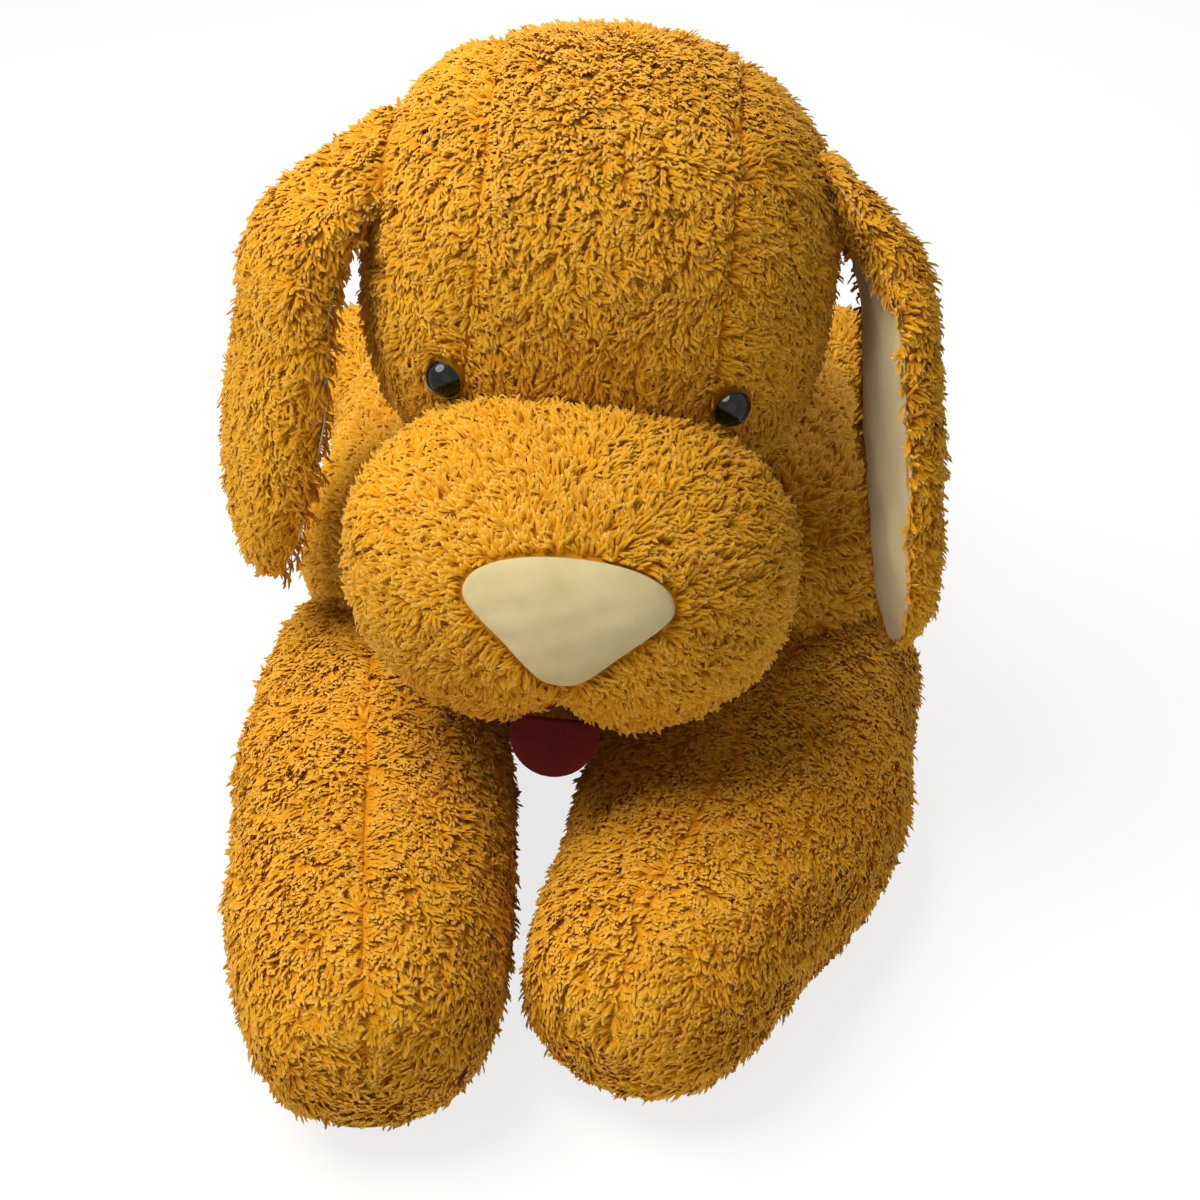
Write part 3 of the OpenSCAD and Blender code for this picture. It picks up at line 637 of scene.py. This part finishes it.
def nose_gap(uv):
    """Distance outside the nose patch's outline, in its own plane; negative inside."""
    best = np.full(uv.shape[:-1], 1e9)
    crossings = np.zeros(uv.shape[:-1], int)
    for a, b in zip(nose_ring, np.roll(nose_ring, -1, 0)):
        e, q = b - a, uv - a
        h = np.clip((q @ e) / (e @ e), 0, 1)
        best = np.minimum(best, np.linalg.norm(q - h[..., None] * e, axis=-1))
        spans = (a[1] > uv[..., 1]) != (b[1] > uv[..., 1])
        rise = b[1] - a[1] if b[1] != a[1] else 1.0
        crossings += spans & (q[..., 0] < e[0] * q[..., 1] / rise)
    return np.where(crossings % 2 == 1, -best, best)


# Most locks in one piece of the pile
MOST_LOCKS = 12000
# Cloth this near the floor that faces down this much carries no pile
BARE_Z, BARE_FACING = 9, -0.55
# Bare rim round the eyes and the nose, and how the pile parts round the eyes
EYE_CLEAR, NOSE_CLEAR, EYE_PART, EYE_PART_W = 1.5, 1.0, 1.6, 17
# Cloth that faces the nose patch's way by more than this lies in front of the muzzle
NOSE_FACING = 0.1
# How far from a seam the pile leans away, how much, and how much of its own way it loses there
PART_W, PART, PART_LOSS = 12, 0.7, 0.5
# How far from a seam the pile is shorter, and by which share
SHORT_W, SHORT = 6, 0.15
# The point that a tuft's locks lean to, in lengths ahead, and the shares of the flow and of that pull
TUFT_AHEAD, FLOW_SHARE, PULL_SHARE = 0.9, 0.45, 0.9
# How far locks turn sideways in radians: in wide waves, by tuft and by lock
YAW_WAVE, YAW_TUFT, YAW_LOCK = 0.6, 0.4, 0.28
# Spread of the length by tuft, by lock and by patch, and the least and most share of it
LONG_TUFT, LONG_LOCK, LONG_PATCH, LONG_LEAST, LONG_MOST = 0.15, 0.17, 0.1, 0.5, 1.5
# A lock's own width as a share of its length, its spread, and the least and most share of it
LOCK_W, WIDE_LOCK, WIDE_LEAST, WIDE_MOST = 0.15, 0.24, 0.6, 1.6
# Spread of the sideways curl in radians, by tuft and by lock
CURL_TUFT, CURL_LOCK = 0.45, 0.5
# Tilt from upright in degrees: its spread by tuft, and its range at the root and at the tip
TILT_TUFT, TILT_ROOT, TILT_TIP = 9, (4, 34), (70, 132)
# Place on the tone ramp: its middle, the patches' share, and the spread by tuft and by lock
TONE_MID, TONE_PATCH, TONE_TUFT, TONE_LOCK = 0.55, 0.2, 0.14, 0.14


def fur(name, body, form, seams, span, flow_of, voxel, size, others, nodes, blend=None, **look):
    """One sewn panel: its cloth plate and the locks of its pile."""
    skin = skin_piece(name, form, seams, span, plush, size)
    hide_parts(*nodes)
    fasten(skin, body, blend)
    pile(name, body, form, seams, span, flow_of, voxel, others, blend, **look)


def fasten(obj, body, blend):
    """Parents a piece of plush to its body, or, given a bend, keeps its place in the world without a
    parent.
    """
    if blend:
        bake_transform(obj)
    else:
        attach(obj, body)


def strayed(middle, by_tuft, by_lock, tuft, tufts):
    """Values for all locks that stray from a middle together in each tuft, and each by itself."""
    return middle + rng.normal(0, by_tuft, tufts)[tuft] + rng.normal(0, by_lock, len(tuft))


def pile(name, body, form, seams, span, flow_of, voxel, others, blend,
         length=6.8, cell=5.2, flat=0, inset=PILE, keep=None):
    """The locks of one panel, gathered in tufts; flat turns them down towards the cloth, in degrees."""
    t, a = sample(form, span, voxel)
    root, normal, along, around, gap, away = surface(form, seams, t, a, inset)
    ok = ~((root[:, 2] < BARE_Z) & (normal[:, 2] < BARE_FACING))
    if keep:
        ok &= keep(t, a)
    for other, most in others:
        ok &= other.depth(root) < most
    if form is head:
        for s in SIDES:
            ok &= np.linalg.norm(root - eye_at[s], axis=1) > EYE_D / 2 + EYE_CLEAR
    if form is muzzle:
        uv = ((root - nose_at) @ nose_turn)[:, :2]
        front = normal @ nose_turn[:, 2] > NOSE_FACING
        ok &= ~(front & (nose_gap(uv) < NOSE_CLEAR))
    root, normal, along, around = root[ok], normal[ok], along[ok], around[ok]
    gap, away = gap[ok], away[ok]
    flow = flow_of(root, along, around)
    near = np.exp(-((gap / PART_W) ** 2))[:, None]
    flow = unit(flow) * (1 - PART_LOSS * near) + away * near * PART
    if form is head:
        for s in SIDES:
            off = root - eye_at[s]
            far = np.linalg.norm(off, axis=1, keepdims=True)
            flow = flow + unit(off) * EYE_PART * np.exp(-((far / EYE_PART_W) ** 2))
    flow = unit(flow - normal * (flow * normal).sum(1, keepdims=True))
    n = len(root)
    tuft, tufts, middle = clumps(root, cell)
    pull = middle[tuft] + flow * length * TUFT_AHEAD - root
    pull = pull - normal * (pull * normal).sum(1, keepdims=True)
    flow = unit(FLOW_SHARE * flow + PULL_SHARE * pull / length)
    yaw = strayed(YAW_WAVE * sway_wide(root), YAW_TUFT, YAW_LOCK, tuft, tufts)
    side = np.cross(normal, flow)
    flow = flow * np.cos(yaw)[:, None] + side * np.sin(yaw)[:, None]
    spread = strayed(0, LONG_TUFT, LONG_LOCK, tuft, tufts) + LONG_PATCH * long_patch(root)
    long = np.clip(length * np.exp(spread), LONG_LEAST * length, LONG_MOST * length)
    long = long * (1 - SHORT * np.exp(-((gap / SHORT_W) ** 2)))
    wide = np.clip(np.exp(rng.normal(0, WIDE_LOCK, n)), WIDE_LEAST, WIDE_MOST) * LOCK_W * length
    curl = strayed(0, CURL_TUFT, CURL_LOCK, tuft, tufts)
    stand = rng.normal(0, TILT_TUFT, tufts)[tuft]
    at_root = rng.uniform(*TILT_ROOT, n) + stand + flat
    at_tip = rng.uniform(*TILT_TIP, n) + stand - flat / 3
    lean = np.radians([at_root, at_tip])
    tone = strayed(TONE_MID + TONE_PATCH * tone_patch(root), TONE_TUFT, TONE_LOCK, tuft, tufts)
    tone = np.clip(tone, 0, 1)
    parts = max(1, math.ceil(n / MOST_LOCKS))
    order = np.argsort(root[:, 1], kind="stable")
    for k, ids in enumerate(np.array_split(order, parts)):
        label = f"{name}_pile" + (f"_{k + 1}" if parts > 1 else "")
        fasten(locks(label, root[ids], normal[ids], flow[ids], long[ids], wide[ids],
                     curl[ids], lean[:, ids], tone[ids]), body, blend)


DOWN = np.array([0.0, 0.0, -1.0])


def flow_torso(root, along, around):
    return along + 0.7 * DOWN


def flow_head(root, along, around):
    crown = moved(head_place, np.array([0.0, 20.0, HEAD_H / 2]))
    return unit(root - crown) + 0.5 * DOWN


def flow_muzzle(root, along, around):
    return unit(root - nose_at) + 0.4 * DOWN


def flow_along(root, along, around):
    return along + 0.25 * DOWN


def flow_outward(root, along, around):
    return along + around


def flow_inward(root, along, around):
    return along - around


# Angle of the flank seam below the torso's middle, and the room between the locks of the face
TORSO_SEAM_A = math.degrees(math.asin(0.27))
FACE_VOXEL = 1.85
# How deep inside another form the pile still grows, in millimetres
TORSO_IN_HEAD, TORSO_IN_LIMB, HEAD_IN_TORSO, LIMB_IN_TORSO, HEAD_IN_MUZZLE, EAR_IN_HEAD = 30, 9, 22, 8, 4, 3
limbs = [*forelegs.values(), *hindlegs.values(), tail]
torso_others = [(head, TORSO_IN_HEAD)] + [(limb, TORSO_IN_LIMB) for limb in limbs]
torso_seams = [("a", -TORSO_SEAM_A), ("a", 180 + TORSO_SEAM_A)]
fur("torso_back", "torso", torso, torso_seams, (0, 1, -TORSO_SEAM_A, 180 + TORSO_SEAM_A), flow_torso,
    voxel=2.8, size=(60, 64), others=torso_others, nodes=("torso_back_panel", "torso_stuffing"),
    length=8.4, cell=7.5, flat=20)
fur("torso_belly", "torso", torso, torso_seams, (0, 1, 180 + TORSO_SEAM_A, 360 - TORSO_SEAM_A), flow_torso,
    voxel=3.8, size=(60, 40), others=torso_others, nodes=("torso_belly_panel",),
    length=8.4, cell=7.5, flat=20)

CROWN_T = CROWN_W / 2 / HEAD_W
head_seams = [("t", 0.5 - CROWN_T), ("t", 0.5 + CROWN_T)]
head_others = [(torso, HEAD_IN_TORSO), (muzzle, HEAD_IN_MUZZLE)]
fur("head_crown", "head", head, head_seams, (0.5 - CROWN_T, 0.5 + CROWN_T, -90, 270), flow_head,
    voxel=FACE_VOXEL, size=(30, 96), others=head_others, nodes=("head_crown_panel", "head_stuffing"))
fur("head_side_left", "head", head, head_seams, (0.5 + CROWN_T, 1, -90, 270), flow_head,
    voxel=FACE_VOXEL, size=(22, 96), others=head_others, nodes=("head_side_panel_left",))
fur("head_side_right", "head", head, head_seams, (0, 0.5 - CROWN_T, -90, 270), flow_head,
    voxel=FACE_VOXEL, size=(22, 96), others=head_others, nodes=("head_side_panel_right",))

# Angle of the lip seams below the muzzle's middle
LIP_A = 3.0
muzzle_seams = [("a", 270)]
muzzle_others = [(head, HEAD_IN_MUZZLE)]
fur("muzzle_top", "head", muzzle, muzzle_seams, (0, 1, -LIP_A, 180 + LIP_A), flow_muzzle,
    voxel=FACE_VOXEL, size=(40, 64), others=muzzle_others, nodes=("muzzle_top_panel", "muzzle_stuffing"))
fur("muzzle_lip_left", "head", muzzle, muzzle_seams, (0, 1, 180 + LIP_A, 270), flow_muzzle,
    voxel=FACE_VOXEL, size=(40, 32), others=muzzle_others, nodes=("muzzle_lip_panel_left",))
fur("muzzle_lip_right", "head", muzzle, muzzle_seams, (0, 1, 270, 360 - LIP_A), flow_muzzle,
    voxel=FACE_VOXEL, size=(40, 32), others=muzzle_others, nodes=("muzzle_lip_panel_right",))


def along_form(form, y):
    """World point in metres on a form's axis at y millimetres along it."""
    s = form.station(np.array([y / form.length]))[0]
    return Vector(moved(form.place, np.array([s[2], y, s[3]])) * MM)


# Pile at a lining's edge: its width in degrees, how much wider at the root, the share of the length where
# that ends and how long it takes, and the angle from the front past which the back edge is covered
EDGE_W, EDGE_ROOT_W, EDGE_END, EDGE_RUN, EDGE_BACK = 13, 150, 0.42, 0.27, 168
EDGE_START, EDGE_LENGTH = 0.02, {LEFT: 7.5, RIGHT: 9}
# Two places along an ear, a leg and the tail, in millimetres, that mark where each leaves its body
EAR_BEND, FORELEG_BEND, HINDLEG_BEND, TAIL_BEND = (12, 75), (70, 170), (70, 150), (25, 80)


def edge_of_lining(front):
    """Says which places on an ear's lining the pile of its edge covers: all at the root, then less."""

    def covered(t, a):
        wide = EDGE_W + EDGE_ROOT_W * np.clip((EDGE_END - t) / EDGE_RUN, 0, 1) ** 2
        from_front = np.abs(a - front)
        return (from_front < wide) | (from_front > EDGE_BACK)

    return covered


def bend_of(form, root, body, between):
    """The two bodies of a piece and two places along its form, where it leaves one body for the next."""
    start, stop = between
    return root, body, along_form(form, start), along_form(form, stop)


ear_edge = {LEFT: edge_of_lining(360), RIGHT: edge_of_lining(180)}
for s, word in SIDES.items():
    ear = ears[s]
    ear_others = [(head, EAR_IN_HEAD)]
    bend = bend_of(ear, "head", f"ear_{word}", EAR_BEND)
    fur(f"ear_{word}_plush", f"ear_{word}", ear, [], (0, 1, 0, 180), flow_along, voxel=2.05, size=(48, 28),
        others=ear_others, nodes=(f"ear_plush_{word}",), length=7, flat=12, blend=bend)
    for half, (a0, a1) in {"front": (270, 360), "back": (180, 270)}.items():
        pile(f"ear_{word}_{half}_edge", f"ear_{word}", linings[s], [], (EDGE_START, 1, a0, a1),
             flow_outward if half == "front" else flow_inward, voxel=2.1, others=ear_others, blend=bend,
             length=EDGE_LENGTH[s], flat=14, inset=LINING_IN, keep=ear_edge[s])
    lining = skin_piece(f"ear_{word}_lining_velour", linings[s], [], (0, 1, 180, 360), velour,
                        (48, 28), LINING_IN, LINING_T)
    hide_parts(f"ear_lining_{word}")
    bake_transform(lining)

# The halves of a leg on its own +x and -x side, in degrees
PLUS_HALF, MINUS_HALF = (-90, 90), (90, 270)


def dress_legs(kind, legs, between, left_halves, voxel, size, **look):
    """The outer and inner panels of a pair of legs, placed in the world rather than fastened to a body."""
    for s, word in SIDES.items():
        leg = legs[s]
        bend = bend_of(leg, "torso", f"{kind}_{word}", between)
        outer, inner = left_halves if s == LEFT else left_halves[::-1]
        for half, span in {"outer": outer, "inner": inner}.items():
            nodes = [f"{kind}_{half}_panel_{word}"]
            if half == "outer":
                nodes.append(f"{kind}_stuffing_{word}")
            fur(f"{kind}_{half}_{word}", f"{kind}_{word}", leg, [("a", 90)], (0, 1, *span),
                flow_along, voxel, size, [(torso, LIMB_IN_TORSO)], nodes, blend=bend, **look)


dress_legs("foreleg", forelegs, FORELEG_BEND, (MINUS_HALF, PLUS_HALF), voxel=2.0, size=(64, 36), flat=26)
dress_legs("hindleg", hindlegs, HINDLEG_BEND, (PLUS_HALF, MINUS_HALF), voxel=3.0, size=(56, 32),
           length=8.2, flat=24)

fur("tail", "tail", tail, [], (0, 1, -90, 270), flow_along, voxel=2.7, size=(44, 40),
    others=[(torso, LIMB_IN_TORSO)], nodes=("tail_cover", "tail_stuffing"), length=8, flat=20,
    blend=bend_of(tail, "torso", "tail", TAIL_BEND))


# Nose: a velour patch laid over the front of the muzzle
# How far its edge and its middle rise over the muzzle, how level it is between, and its depth below
NOSE_EDGE, NOSE_RISE, NOSE_LEVEL, NOSE_DEEP = 0.6, 3.4, 5, 2.5
# Height of its lumps, how much finer they are than the fine lumps, and how round it bulges
NOSE_LUMP, NOSE_FINER, NOSE_ROUND = 0.35, 2.2, 0.6
# Where the muzzle's bulge has its middle, and how far off the muzzle's surface is looked for
MUZZLE_MID_Y, MUZZLE_SEARCH = -60.0, 60.0


def on_muzzle(p, way):
    """Moves world points along a direction onto the muzzle's surface."""
    low, high = np.full(len(p), -MUZZLE_SEARCH), np.full(len(p), MUZZLE_SEARCH)
    for _ in range(40):
        mid = (low + high) / 2
        inside = muzzle.depth(p + way * mid[:, None]) > 0
        low, high = np.where(inside, mid, low), np.where(inside, high, mid)
    return p + way * low[:, None]


def disc_grid(cells):
    """A square grid of points bent to fill the unit disc."""
    u, v = np.meshgrid(np.linspace(-1, 1, cells), np.linspace(-1, 1, cells), indexing="ij")
    return np.stack([u * np.sqrt(1 - v * v / 2), v * np.sqrt(1 - u * u / 2)], -1)


def nose_patch():
    cells = 44
    disc = disc_grid(cells)
    ring = nose_outline(40)
    order = np.argsort(np.arctan2(ring[:, 1], ring[:, 0]))
    bearing = np.arctan2(ring[order, 1], ring[order, 0])
    angle = np.arctan2(disc[..., 1], disc[..., 0])
    reach = np.interp(angle, bearing, np.hypot(*ring[order].T), period=2 * math.pi)
    share = np.hypot(disc[..., 0], disc[..., 1])
    flat = disc * reach[..., None]
    p = nose_at + flat[..., :1] * nose_turn[:, 0] + flat[..., 1:] * nose_turn[:, 1]
    on = on_muzzle(p.reshape(-1, 3), nose_turn[:, 2]).reshape(cells, cells, 3)
    centre = moved(head_place, np.array([0.0, MUZZLE_MID_Y, -MUZZLE_DROP]))
    out = unit(unit(on - centre) * NOSE_ROUND + nose_turn[:, 2] * (1 - NOSE_ROUND))
    rise = NOSE_EDGE + NOSE_RISE * (1 - share ** NOSE_LEVEL) + NOSE_LUMP * lump_fine(on * NOSE_FINER)
    verts, quads = plate(on + out * rise[..., None], on - out * NOSE_DEEP)
    obj = mesh_object("nose_patch_velour", verts, quads, NO_TRIS,
                      grid_uv(cells, cells), {}, velour)
    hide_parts("nose_patch")
    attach(obj, "head")


nose_patch()


def lathe(name, profile, sides, place, material):
    """A turned solid from (radius, height) points, closed on its axis at both ends."""
    angle = np.linspace(0, 2 * math.pi, sides, endpoint=False)
    r, h = np.array(profile, float).T
    grid = np.stack([r[:, None] * np.cos(angle), r[:, None] * np.sin(angle), h[:, None] + 0 * angle], -1)
    rows = len(r)
    ids = np.arange(rows * sides).reshape(rows, sides)
    ids = np.concatenate([ids, ids[:, :1]], 1)
    quads = np.stack([ids[:-1, :-1], ids[:-1, 1:], ids[1:, 1:], ids[1:, :-1]], -1).reshape(-1, 4)
    ends = np.array([[0, 0, h[0]], [0, 0, h[-1]]])
    verts = np.concatenate([grid.reshape(-1, 3), ends])
    first, last = rows * sides, rows * sides + 1
    tris = np.concatenate([
        np.stack([np.full(sides, first), ids[0, 1:], ids[0, :-1]], -1),
        np.stack([np.full(sides, last), ids[-1, :-1], ids[-1, 1:]], -1)])
    u, v = np.meshgrid(np.arange(sides) / sides, np.linspace(0, 1, rows))
    uv = np.concatenate([np.stack([u, v], -1).reshape(-1, 2), [[0.5, 0], [0.5, 1]]])
    return mesh_object(name, moved(place, verts), quads, tris, uv, {}, material)


# Eyes: glossy domes on ridged shanks
# Ridges on a shank, their spacing, and the cut into the shank at each height over a ridge's foot
RIDGES, RIDGE_STEP, RIDGE = 7, 2, [(0.35, 0), (0, 0.5), (0, 1.2), (0.35, 1.5)]


def eye(side, word):
    z = eye_way[side]
    x = unit(np.cross([0, 0, 1.0], z))
    place = np.eye(4)
    place[:3, 0], place[:3, 1], place[:3, 2], place[:3, 3] = x, np.cross(z, x), z, eye_at[side]
    base, stem = 0.5, SHANK_D / 2
    ball = (EYE_D ** 2 / 4 + DOME_H ** 2) / (2 * DOME_H)
    edge = math.degrees(math.asin(EYE_D / 2 / ball))
    dome = [(ball * math.sin(math.radians(q)), base + DOME_H - ball + ball * math.cos(math.radians(q)))
            for q in np.linspace(edge, 1.5, 18)]
    shank = []
    for k in range(RIDGES):
        foot = base - SHANK_LEN + RIDGE_STEP * k
        shank += [(stem - cut, foot + up) for cut, up in RIDGE]
    rim = [(stem, base - 0.4), (stem + 0.6, base), (EYE_D / 2 - 0.4, base), (EYE_D / 2, base + 0.25)]
    obj = lathe(f"eye_{word}_dome", shank + rim + dome, 48, place, eye_black)
    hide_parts(f"eye_{word}")
    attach(obj, "head")


for s, word in SIDES.items():
    eye(s, word)
    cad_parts[f"eye_washer_{word}"].data.materials.clear()
    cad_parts[f"eye_washer_{word}"].data.materials.append(washer_white)


def softened(name, node, body, material, voxel, rounds):
    """A piece with the CAD solid's shape, its edges rounded as cut cloth or felt rounds."""
    obj = bpy.data.objects.new(name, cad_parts[node].data.copy())
    bpy.context.scene.collection.objects.link(obj)
    obj.data.materials.clear()
    grow = obj.modifiers.new("grow", "REMESH")
    grow.mode = "VOXEL"
    grow.voxel_size = voxel * MM
    relax = obj.modifiers.new("relax", "SMOOTH")
    relax.factor, relax.iterations = 0.5, rounds
    bpy.context.view_layer.update()
    solid = bpy.data.meshes.new_from_object(obj.evaluated_get(bpy.context.evaluated_depsgraph_get()))
    obj.modifiers.clear()
    obj.data = solid
    obj.data.materials.clear()
    obj.data.materials.append(material)
    obj.data.polygons.foreach_set("use_smooth", np.ones(len(solid.polygons), bool))
    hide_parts(node)
    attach(obj, body)


softened("tongue_felt", "tongue", "tongue", felt, voxel=0.9, rounds=6)
softened("neck_wadding", "neck_stuffing", "neck", wadding, voxel=3.0, rounds=4)


# Soles: velour patches under the paws that turn up a little round the toes, let up into the pile
SOLE_UP = 3.0
# A sole's thickness at its edge, what its middle adds, how level it is, and its reach up the paw's side
SOLE_EDGE, SOLE_RISE, SOLE_LEVEL, SOLE_REACH = 0.6, 2.2, 8, 0.97


def sole(name, node, form, body):
    cells = 30
    disc = disc_grid(cells)
    x = disc[..., 0] * SOLE_W / 2
    y = form.length - SOLE_LEN / 2 - SOLE_BACK + disc[..., 1] * SOLE_LEN / 2
    t = y / form.length
    st, r = form.station(t), form.swell(t)
    across = np.clip(np.abs(x) / (st[..., 0] * r), 0, SOLE_REACH)
    under = st[..., 3] - st[..., 1] * r * (1 - across ** form.power) ** (1 / form.power)
    under = np.maximum(under + SOLE_UP, LOW_LOCK)
    edge = np.hypot(disc[..., 0], disc[..., 1])
    thick = SOLE_EDGE + SOLE_RISE * np.sqrt(np.maximum(0, 1 - edge ** SOLE_LEVEL))
    top = moved(form.place, np.stack([x, y, under + thick], -1))
    verts, quads = plate(top, moved(form.place, np.stack([x, y, under], -1)))
    obj = mesh_object(name, verts, quads, NO_TRIS, grid_uv(cells, cells), {}, velour)
    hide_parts(node)
    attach(obj, body)


for s, word in SIDES.items():
    sole(f"front_paw_sole_{word}_velour", f"front_paw_sole_{word}", forelegs[s], f"foreleg_{word}")
    sole(f"hind_paw_sole_{word}_velour", f"hind_paw_sole_{word}", hindlegs[s], f"hindleg_{word}")

# Camera at the photograph's angle
CAMERA_AT, CAMERA_TO = Vector((0, -1.109, 0.739)), Vector((0, -0.270, 0.194))
camera = bpy.data.objects.new("camera", bpy.data.cameras.new("camera"))
bpy.context.scene.collection.objects.link(camera)
camera.location = CAMERA_AT
camera.rotation_euler = (CAMERA_TO - CAMERA_AT).to_track_quat("-Z", "Y").to_euler()
camera.data.lens, camera.data.sensor_width = 60, 36
bpy.context.scene.camera = camera


def lamp(name, at, to, size, watts, colour):
    data = bpy.data.lights.new(name, "AREA")
    data.shape, data.size, data.energy, data.color = "DISK", size, watts, colour
    obj = bpy.data.objects.new(name, data)
    bpy.context.scene.collection.objects.link(obj)
    obj.location = at
    obj.rotation_euler = (Vector(to) - Vector(at)).to_track_quat("-Z", "Y").to_euler()


MIDDLE = (0, -0.15, 0.2)
lamp("key", (-1.0, -0.5, 2.1), MIDDLE, size=1.7, watts=68, colour=(1.0, 0.97, 0.92))
lamp("fill", (0.2, -2.0, 0.9), MIDDLE, size=1.8, watts=3, colour=(0.97, 0.98, 1.0))
lamp("rim", (0.3, 1.6, 1.7), MIDDLE, size=1.2, watts=20, colour=(1.0, 1.0, 1.0))


def seen_rays(nodes, links):
    """One for camera and glossy rays, which see the white background, and zero for the rest."""
    path = nodes.new("ShaderNodeLightPath")
    either = nodes.new("ShaderNodeMath")
    either.operation = "MAXIMUM"
    links.new(path.outputs["Is Camera Ray"], either.inputs[0])
    links.new(path.outputs["Is Glossy Ray"], either.inputs[1])
    return either.outputs["Value"]


world = bpy.data.worlds.new("studio")
world.use_nodes = True
bpy.context.scene.world = world
nodes, links = world.node_tree.nodes, world.node_tree.links
light = nodes["Background"]
light.inputs["Color"].default_value = (1.0, 0.91, 0.78, 1)
light.inputs["Strength"].default_value = 0.19
seen = nodes.new("ShaderNodeBackground")
seen.inputs["Color"].default_value = (1.0, 1.0, 1.0, 1)
seen.inputs["Strength"].default_value = 1.0
pick = nodes.new("ShaderNodeMixShader")
links.new(seen_rays(nodes, links), pick.inputs["Fac"])
links.new(light.outputs["Background"], pick.inputs[1])
links.new(seen.outputs["Background"], pick.inputs[2])
links.new(pick.outputs["Shader"], nodes["World Output"].inputs["Surface"])

# The floor's half width and height in metres, and the share of it that shows as plain white
FLOOR_HALF, FLOOR_Z, FLOOR_GLOW = 60, -0.0004, 0.8
floor_mesh = bpy.data.meshes.new("floor")
corners = [(x * FLOOR_HALF, y * FLOOR_HALF, 0) for x, y in ((-1, -1), (1, -1), (1, 1), (-1, 1))]
floor_mesh.from_pydata(corners, [], [(0, 1, 2, 3)])
floor = bpy.data.objects.new("floor", floor_mesh)
bpy.context.scene.collection.objects.link(floor)
floor.location.z = FLOOR_Z
mat, nodes, links, shader = new_material("pale_floor")
shader.inputs["Base Color"].default_value = (0.9, 0.9, 0.89, 1)
shader.inputs["Roughness"].default_value = 0.9
glow = nodes.new("ShaderNodeEmission")
glow.inputs["Strength"].default_value = 1.0
half = nodes.new("ShaderNodeMath")
half.operation = "MULTIPLY"
half.inputs[1].default_value = FLOOR_GLOW
pick = nodes.new("ShaderNodeMixShader")
links.new(seen_rays(nodes, links), half.inputs[0])
links.new(half.outputs["Value"], pick.inputs["Fac"])
links.new(shader.outputs["BSDF"], pick.inputs[1])
links.new(glow.outputs["Emission"], pick.inputs[2])
links.new(pick.outputs["Shader"], nodes["Material Output"].inputs["Surface"])
floor_mesh.materials.append(mat)

bpy.context.scene.view_settings.view_transform = "Standard"
